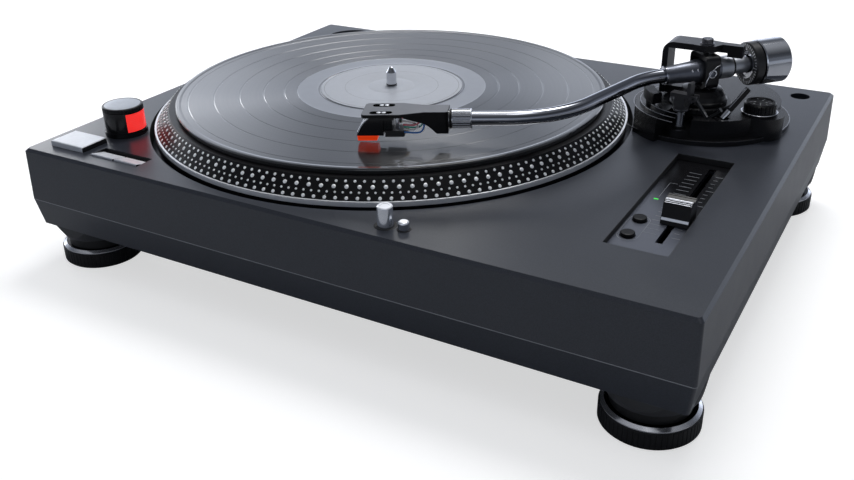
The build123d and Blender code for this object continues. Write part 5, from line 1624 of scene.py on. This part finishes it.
@dataclass
class Tonearm:
    """Arm, its bearings, counterweight with its scale, headshell and pick-up."""

    dial_face: float = -30.0
    dial_radius: float = 14.2
    dial_ticks: int = 40
    dial_figures: float = 10.2
    cheek: float = 10.6
    screw_lean: float = 22.0
    screws: tuple[Pair, ...] = ((12.2, 6.86), (8.3, 7.13))
    slots: Pair = (34.6, 48.4)
    slot_side: float = 6.35
    loops: tuple[tuple[float, ...], ...] = ((5.0, 19.2, 2.2, -1.6), (3.4, 20.0, -0.6, -5.2),
                                            (4.4, 16.4, 3.4, -6.6), (2.0, 17.6, 1.6, -4.2))
    nose: tuple[Pair, ...] = ((44.5, 4.4), (48.5, 3.5), (52.2, 1.0), (55.0, -2.6), (56.8, -6.0), (57.6, -8.4))
    sweep: tuple[Pair, ...] = ((1.7, -7.0), (8.6, -7.0), (9.8, -5.9), (11.4, -4.2), (13.2, -2.6),
                               (15.6, -1.1), (18.4, 0.2), (21.6, 1.4), (24.8, 2.7), (28.0, 4.1))

    def build(self) -> None:
        """Finishes and the pieces on the arm."""
        dress(Palette.gimbal, "gimbal")
        dress(Palette.chrome, "arm_tube")
        dress(Palette.shaft, "arm_shaft")
        dress(Palette.weight, "counterweight")
        dress(Palette.dial, "counterweight_dial")
        dress(Palette.bush, "counterweight_bush")
        dress(Palette.nut, "headshell_nut")
        dress(Palette.shell_black, "headshell")
        dress(Palette.cartridge, "cartridge")
        dress(Palette.stylus, "stylus")
        self.collar()
        self.yoke()
        self.scale()
        self.shell()
        self.leads()

    def collar(self) -> None:
        """Bright ring at the front of the collar, dark band on the rear stub and two small screws."""
        at = facing(PIVOT, AHEAD, UP)
        Shape().turned([(4.42, 28.02), (5.85, 28.02), (6.1, 28.3), (6.1, 29.3), (5.8, 29.7), (4.42, 29.75)],
                       64).lay("collar_ring", at, Palette.chrome, "arm", Slot.CHROME)
        Shape().turned(band(6.6, 6.78, -19.28, -17.72), 64).lay(
            "stub_band", at, Palette.black_liner, "arm", Slot.SHAFT)
        lean = math.radians(self.screw_lean)
        for number, (reach, radius) in enumerate(self.screws, 1):
            out = (NEAR_SIDE * math.cos(lean) + UP * math.sin(lean)).normalized()
            spot = PIVOT + AHEAD * reach * MM + out * (radius - 0.15) * MM
            head = [(0.01, 0.0), (0.85, 0.0), (0.85, 0.35), (0.6, 0.55), (0.01, 0.6)]
            Shape().turned(head, 24, solid=False).lay(
                f"collar_screw_{number}", facing(spot, out, UP), Palette.steel, "arm", Slot.BRIGHT)

    def yoke(self) -> None:
        """Bearing caps on both cheeks of the yoke and the fine wire that leaves the near one."""
        cap = [(1.9, -0.1), (2.9, -0.1), (2.9, 0.25), (2.6, 0.45), (2.2, 0.45), (1.9, 0.2)]
        for number, out in enumerate((NEAR_SIDE, -NEAR_SIDE), 1):
            at = facing(PIVOT + out * self.cheek * MM, out, UP)
            Shape().turned(cap, 40).lay(f"bearing_cap_{number}", at, Palette.steel, "gimbal", Slot.BRIGHT)
        at = place(PIVOT, Vector((AHEAD.x, AHEAD.y, 0.0)))
        sign = 1.0 if (at.to_3x3().col[1].normalized() - NEAR_SIDE).length < 1.0 else -1.0
        cheek = sign * (self.cheek + 0.35)
        path = [(4.6, cheek, -7.5), (4.2, cheek * 1.03, -4.5), (2.6, cheek * 1.05, -0.5),
                (0.0, cheek * 1.05, 3.4), (-3.0, cheek * 1.02, 5.2), (-4.6, cheek, 5.6)]
        Shape().pipe(curve_through(path, 8), 0.32).lay("yoke_wire", at, Palette.steel, "gimbal", Slot.BRIGHT)

    def scale(self) -> None:
        """Ticks and numbers round the counterweight's dial, on its face."""
        at = facing(PIVOT, AHEAD, UP)
        face = self.dial_face
        ticks = Shape()
        near = self.dial_radius - 0.9
        for k in range(self.dial_ticks):
            angle = 2 * math.pi * k / self.dial_ticks
            far = near - (3.2 if k % 5 == 0 else 1.9)
            ticks.bar(polar(near, angle), polar(far, angle), 0.5, face - 0.05, face + 0.05)
        for k in range(8):
            angle = 2 * math.pi * k / 8 + math.pi / 2
            spot = Matrix.Translation((*polar(self.dial_figures, angle), face + 0.03))
            ticks.figure(str(k // 2) if k % 2 == 0 else "", 2.4,
                         spot @ Matrix.Rotation(angle - math.pi / 2, 4, "Z"))
        ticks.lay("dial_scale", at, Palette.trim, "counterweight_dial", Slot.BUSH)

    def shell(self) -> None:
        """Headshell with its plate, swept side walls, back and washer, and the screws in its slots."""
        plate = [(1.6, -6.4), (16.0, -6.4), (30.0, -10.4), (51.5, -10.4), (53.0, -8.9), (53.0, 8.9),
                 (51.5, 10.4), (30.0, 10.4), (16.0, 6.4), (1.6, 6.4)]
        body = Shape().raised(plate, 4.4, 6.38)
        for side in (-1, 1):
            rows = []
            for x, bottom in self.sweep:
                reach = 6.4 + 4.0 * min(max((x - 16.0) / 14.0, 0.0), 1.0)
                rows.append(body.ring([(x, side * y, z) for y, z in
                                       ((reach, bottom), (reach, 4.6), (reach - 1.6, 4.6),
                                        (reach - 1.6, bottom))]))
            body.loft(rows)
        body.raised(band(1.6, 3.4, -6.4, 6.4), -7.0, 6.3)
        made = body.lay("headshell_body", SHELL, Palette.shell_black, "arm", Slot.SHELL, 25)
        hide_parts("headshell")
        ahead = SHELL.to_3x3().col[0]
        at = facing(SHELL.translation, ahead, SHELL.to_3x3().col[2])
        washer = [(0.01, -5.6), (4.2, -5.6), (4.2, 0.1), (5.8, 0.1), (5.95, 0.3), (5.95, 1.0), (5.2, 1.2),
                  (5.2, 1.7), (0.01, 1.7)]
        Shape().turned(washer, 64, solid=False).lay("headshell_washer", at, Palette.rubber, "arm", Slot.SHELL)
        Shape().turned(bead(5.6, 1.3, 0.28), 64).lay("headshell_ring", at, Palette.steel, "arm", Slot.BRIGHT)
        outline = [(1.7, -6.2), (16.1, -6.2), (30.1, -10.2), (51.4, -10.2), (52.8, -8.8), (52.8, 8.8),
                   (51.4, 10.2), (30.1, 10.2), (16.1, 6.2), (1.7, 6.2)]
        Shape().raised(outline, 6.3, 6.52).lay("headshell_face", SHELL, Palette.shell_top, "arm", Slot.SHELL)
        slots, heads = Shape(), Shape()
        for side in (-self.slot_side, self.slot_side):
            low, high = self.slots
            outline = arc(2.3, -90, 90, 12, (high - 2.3, side)) + arc(2.3, 90, 270, 12, (low + 2.3, side))
            slots.raised(outline, 6.4, 6.56)
            # Two pale heads in each slot: partly the real screw, partly painted highlights for its two
            # glints.
            for x in (39.6, 42.8):
                heads.turned([(0.01, 6.5), (1.25, 6.5), (1.25, 6.72), (0.9, 6.86), (0.01, 6.9)], 24,
                             solid=False, at=((x, side),))
        # The open slots are flat matt black inlays: partly the cartridge's black top below, partly painted
        # shade for the depth of the slots.
        slots.lay("headshell_slot_shade", SHELL, Palette.void, "arm", Slot.SHELL)
        heads.lay("headshell_screw_heads", SHELL, Palette.trim, "arm", Slot.BRIGHT)
        self.pickup()

    def pickup(self) -> None:
        """Cartridge with its rounded nose and painted highlights along its nose edges, its spacers and the
        block with its pins.
        """
        nose, spacers, pins, body = Shape(), Shape(), Shape(), Shape()
        curve = curve_through([(x, z, 0.0) for x, z in self.nose], 4)
        profile = [(41.0, -8.4), (41.0, 4.4)] + [(x, z) for x, z, _ in curve]
        rows = []
        for side, inset in ((-5.6, 0.5), (-5.1, 0.0), (5.1, 0.0), (5.6, 0.5)):
            rows.append(body.ring([(x - inset * (x > 42.0), side, z - inset * (x > 42.0 and z > -8.0))
                                   for x, z in profile]))
        body.loft(rows)
        body.raised(band(34.0, 49.0, -8.4, 8.4), 2.4, 4.4)
        body.raised(band(35.4, 41.2, -4.4, 4.4), -6.4, 2.6)
        for side in (-self.slot_side, self.slot_side):
            body.turned(band(0.01, 1.25, 1.4, 6.6), 24, solid=False, at=((41.0, side),))
        made = body.lay("cartridge_body", SHELL, Palette.cartridge, "arm", Slot.CARTRIDGE, 30)
        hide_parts("cartridge")
        # Pale strips along the nose's rounded edges are painted highlights.
        for side in (-5.3, 5.3):
            nose.pipe([(x - 0.25, side, z - 0.2) for x, z, _ in curve[1:17]], 0.55)
        for side in (-5.6, 5.6):
            spacers.turned([(0.01, -4.2), (1.05, -4.2), (1.2, -3.9), (1.2, 3.6), (0.9, 4.3), (0.01, 4.3)], 24,
                           solid=False, at=((32.0, side),))
        nose.lay("cartridge_nose_highlights", SHELL, Palette.trim, "arm", Slot.CARTRIDGE)
        spacers.lay("cartridge_spacers", SHELL, Palette.steel, "arm", Slot.BRIGHT)
        block = Shape()
        rows = [block.ring([(x, y, z) for y, z in ((-5.4 + i, -9.3), (5.4 - i, -9.3), (5.4 - i, -5.5 - i),
                                                   (-5.4 + i, -5.5 - i))])
                for x, i in ((28.4, 0.6), (28.9, 0.0), (40.0, 0.0))]
        block.loft(rows)
        block.lay("cartridge_terminal_block", SHELL, Palette.inlet, "arm", Slot.CARTRIDGE)
        for y in (-3.0, 0.0, 3.0):
            pins.pipe([(26.4, y, -7.4), (28.6, y, -7.4)], 0.5, 10)
        pins.lay("cartridge_pins", SHELL, Palette.plating, "arm", Slot.BRIGHT)

    def leads(self) -> None:
        """Four thin leads that loop back to the cartridge's pins, each on its own path."""
        for (colour, finish), (side, reach, top, foot) in zip(Palette.wire_colours.items(), self.loops):
            path = [(29.5, side, top + 0.6), (24.5, side, top), (reach + 1.2, side, (2 * top + foot) / 3),
                    (reach, side, (top + 2 * foot) / 3), (reach + 3.0, side, foot - 0.3), (28.8, side, foot)]
            Shape().pipe(curve_through(path, 6), 0.55).lay(f"lead_{colour}", SHELL, finish, "arm",
                                                           Slot.CARTRIDGE)


@dataclass
class Feet:
    """Four levelling feet with bright rings."""

    count: int = 4

    def build(self) -> None:
        """Finishes of the feet."""
        for number in range(1, self.count + 1):
            dress(Palette.rubber, f"foot_{number}")
            centre = middle(f"foot_{number}_ring")
            dress(TwoTone(f"foot_ring_{number}_finish", (0.004, 0.004, 0.005), roughness=0.16, metallic=0.9,
                          line=0.3, other=(0.80, 0.81, 0.85), edge=23.9, outwards=True, **about_z(centre)),
                  f"foot_{number}_ring")


@dataclass
class RearPanel:
    """Sockets at the back and the works inside the case."""

    def build(self) -> None:
        """Finishes, with coloured collars in the two signal jacks."""
        dress(Palette.inlet, "rear_panel", "mains_inlet", "line_switch")
        dress(Palette.plating, "rca_jacks")
        dress(Palette.socket, "usb_socket", "ground_post", "ground_nut")
        dress(Palette.iron, "motor_stator", "transformer")
        dress(Palette.board, "control_board")
        low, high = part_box("rca_jacks")
        z = (low.z + high.z) / 2
        radius = (high.z - low.z) / 2
        for number, x in enumerate((low.x + radius, high.x - radius)):
            finish = (Palette.wire_colours["white"], Palette.wire_colours["red"])[number]
            at = facing(Vector((x, high.y, z)), Vector((0, 1, 0)), Vector((1, 0, 0)))
            Shape().turned(band(1.9, 3.3, -0.6, 0.12), 48).lay(
                f"signal_jack_collar_{number + 1}", at, finish, "chassis", Slot.JACK)


@dataclass(frozen=True)
class SoftBox:
    """A soft light aimed at the player, faded at its edges to leave no hard outline in glossy faces."""

    name: str
    at: Point
    size: Pair
    power: float
    towards: Point = (0, 0, 0.08)
    gain: float = 36.0

    def build(self) -> None:
        """Adds the light and its fading face."""
        data = bpy.data.lights.new(self.name, "AREA")
        data.shape = "RECTANGLE"
        data.size, data.size_y = self.size
        data.energy = self.power
        data.use_nodes = True
        graph = Graph(data.node_tree)
        across, along, _ = graph.parts(graph.add("NewGeometry").outputs["Parametric"])
        humps = [graph.math("MULTIPLY", way, graph.math("SUBTRACT", 1.0, way)) for way in (across, along)]
        strength = graph.math("MULTIPLY", graph.math("MULTIPLY", *humps), self.gain)
        graph.finish("OutputLight", graph.shader("Emission", WHITE, strength))
        lamp = bpy.data.objects.new(self.name, data)
        lamp.location = self.at
        lamp.rotation_euler = (Vector(self.towards) - Vector(self.at)).to_track_quat("-Z", "Y").to_euler()
        bpy.context.scene.collection.objects.link(lamp)


@dataclass(frozen=True)
class Glow:
    """A soft bright patch of the surroundings; angles in degrees."""

    bearing: float
    height: float
    core: float
    reach: float
    strength: float

    def direction(self) -> Vector:
        """Way towards the middle of the patch."""
        bearing, height = math.radians(self.bearing), math.radians(self.height)
        return Vector((-math.sin(bearing) * math.cos(height), math.cos(bearing) * math.cos(height),
                       math.sin(height)))

    def limits(self) -> Pair:
        """Cosines of the angles where the patch starts and where it is full."""
        return math.cos(math.radians(self.reach)), math.cos(math.radians(self.core))


@dataclass
class Studio:
    """Floor, soft lights, pale surroundings and camera."""

    eye: Point = (0.29778, -0.54308, 0.31158)
    azimuth: float = 30.377
    elevation: float = 27.577
    roll: float = -1.239
    lens: float = 39.608
    sensor: float = 36.0
    sight: float = 50.0
    horizon: float = 1.5
    horizon_colour: Colour = (0.88, 0.94, 1.04)
    front_share: float = 0.5
    front_to_back: Pair = (-0.9, 0.35)
    east_share: float = 0.35
    middle_to_east: Pair = (0.25, 0.95)
    overhead: float = 0.32
    overhead_tint: Colour = (1.0, 1.03, 1.10)
    fade: tuple[Pair, ...] = ((0.17, 0.90), (0.26, 0.33), (0.385, 0.33), (0.47, 0.15), (0.62, 0.08))
    fade_tint: Colour = (0.89, 0.97, 1.14)
    glows: tuple[Glow, ...] = (Glow(52.0, 18.0, 3.0, 15.0, 0.62), Glow(17.0, 17.0, 1.5, 8.0, 0.30))
    glow_colour: Colour = (0.93, 0.97, 1.05)
    floor_half: float = 6.0
    floor_lit: Colour = (0.80, 0.80, 0.80)
    floor_mirrored: Colour = (0.42, 0.43, 0.45)
    floor_shown: Colour = (0.60, 0.60, 0.605)
    floor_glow: Colour = (0.995, 0.998, 1.0)
    floor_glow_strength: float = 0.62
    floor_fade: Pair = (0.45, 1.3)
    boxes: tuple[SoftBox, ...] = (
        SoftBox("top_softbox", (-0.1, 0.75, 1.7), (1.2, 0.8), 19.0),
        SoftBox("side_softbox", (-1.58, 0.50, 0.46), (1.0, 0.34), 4.0),
        SoftBox("back_glow", (-0.65, 1.09, 0.85), (0.30, 0.20), 0.4),
        SoftBox("deck_fill", (0.22, -0.15, 1.5), (0.6, 0.6), 1.6),
    )

    def floor(self) -> None:
        """Wide pale floor that keeps the player's shadow and turns white farther out."""
        mesh = bmesh.new()
        bmesh.ops.create_grid(mesh, x_segments=8, y_segments=8, size=self.floor_half)
        data = bpy.data.meshes.new("floor")
        mesh.to_mesh(data)
        mesh.free()
        floor = bpy.data.objects.new("floor", data)
        bpy.context.scene.collection.objects.link(floor)
        material = new_material("floor_finish")
        graph = Graph(material.node_tree)
        near = graph.merge("AddShader", graph.shader("BsdfDiffuse", self.floor_shown),
                           graph.shader("Emission", self.floor_glow, self.floor_glow_strength))
        reach = graph.vector("LENGTH", graph.place, output="Value")
        shown = graph.merge("MixShader", graph.remap(reach, self.floor_fade, soft=True), near,
                            graph.shader("Emission", WHITE))
        rays = graph.add("LightPath").outputs
        unseen = graph.merge("MixShader", rays["Is Glossy Ray"],
                             graph.shader("BsdfDiffuse", self.floor_lit),
                             graph.shader("BsdfDiffuse", self.floor_mirrored))
        seen = graph.math("MAXIMUM", rays["Is Camera Ray"], rays["Is Transmission Ray"])
        graph.finish("OutputMaterial", graph.merge("MixShader", seen, unseen, shown))
        data.materials.append(material)

    def world(self) -> None:
        """Pale surroundings, brightest low down and dimmer overhead, with soft patches behind the player."""
        world = bpy.data.worlds.new("studio")
        bpy.context.scene.world = world
        world.use_nodes = True
        graph = Graph(world.node_tree)
        way = graph.add("TexCoord").outputs["Generated"]
        east, north, rise = graph.parts(way)
        ramp = graph.add("ValToRGB")
        graph.feed(ramp.inputs[0], rise)
        stops = ramp.color_ramp.elements
        stops[0].color = (*self.horizon_colour, 1.0)
        stops[1].color = (*(self.overhead * c for c in self.overhead_tint), 1.0)
        for height, level in self.fade:
            stops.new(height).color = (*(level * c for c in self.fade_tint), 1.0)
        strength = graph.math("MULTIPLY",
                              graph.remap(north, self.front_to_back,
                                          (self.horizon * self.front_share, self.horizon)),
                              graph.remap(east, self.middle_to_east, (1.0, self.east_share)))
        total = graph.shader("Background", ramp.outputs[0], strength)
        for glow in self.glows:
            near = graph.remap(graph.vector("DOT_PRODUCT", way, glow.direction(), "Value"), glow.limits(),
                               (0.0, glow.strength), soft=True)
            total = graph.merge("AddShader", total,
                                graph.shader("Background", self.glow_colour, near))
        seen = graph.add("LightPath").outputs["Is Camera Ray"]
        graph.finish("OutputWorld", graph.merge("MixShader", seen, total,
                                                          graph.shader("Background", WHITE)))

    def camera(self) -> None:
        """Camera at the front right, looking down a little."""
        data = bpy.data.cameras.new("camera")
        data.lens = self.lens
        data.sensor_width = self.sensor
        data.clip_end = self.sight
        camera = bpy.data.objects.new("camera", data)
        camera.location = self.eye
        turn = Matrix.Rotation(math.radians(self.azimuth), 4, "Z")
        tilt = Matrix.Rotation(math.radians(90.0 - self.elevation), 4, "X")
        roll = Matrix.Rotation(math.radians(self.roll), 4, "Z")
        camera.rotation_euler = (turn @ tilt @ roll).to_euler()
        bpy.context.scene.collection.objects.link(camera)
        bpy.context.scene.camera = camera

    def build(self) -> None:
        """Sets up the whole studio."""
        self.camera()
        self.floor()
        self.world()
        for box in self.boxes:
            box.build()
        bpy.context.scene.view_settings.view_transform = "Standard"


def main() -> None:
    """Builds every sub-assembly in order."""
    logging.basicConfig(level=logging.INFO, format="%(message)s")
    for part in (Case(), PlatterSet(), StrobeTower(), DeckButtons(), PitchControl(), TonearmBase(), Tonearm(),
                 Feet(), RearPanel(), Studio()):
        log.info("== %s", type(part).__name__)
        part.build()


if __name__ == "__main__":
    main()
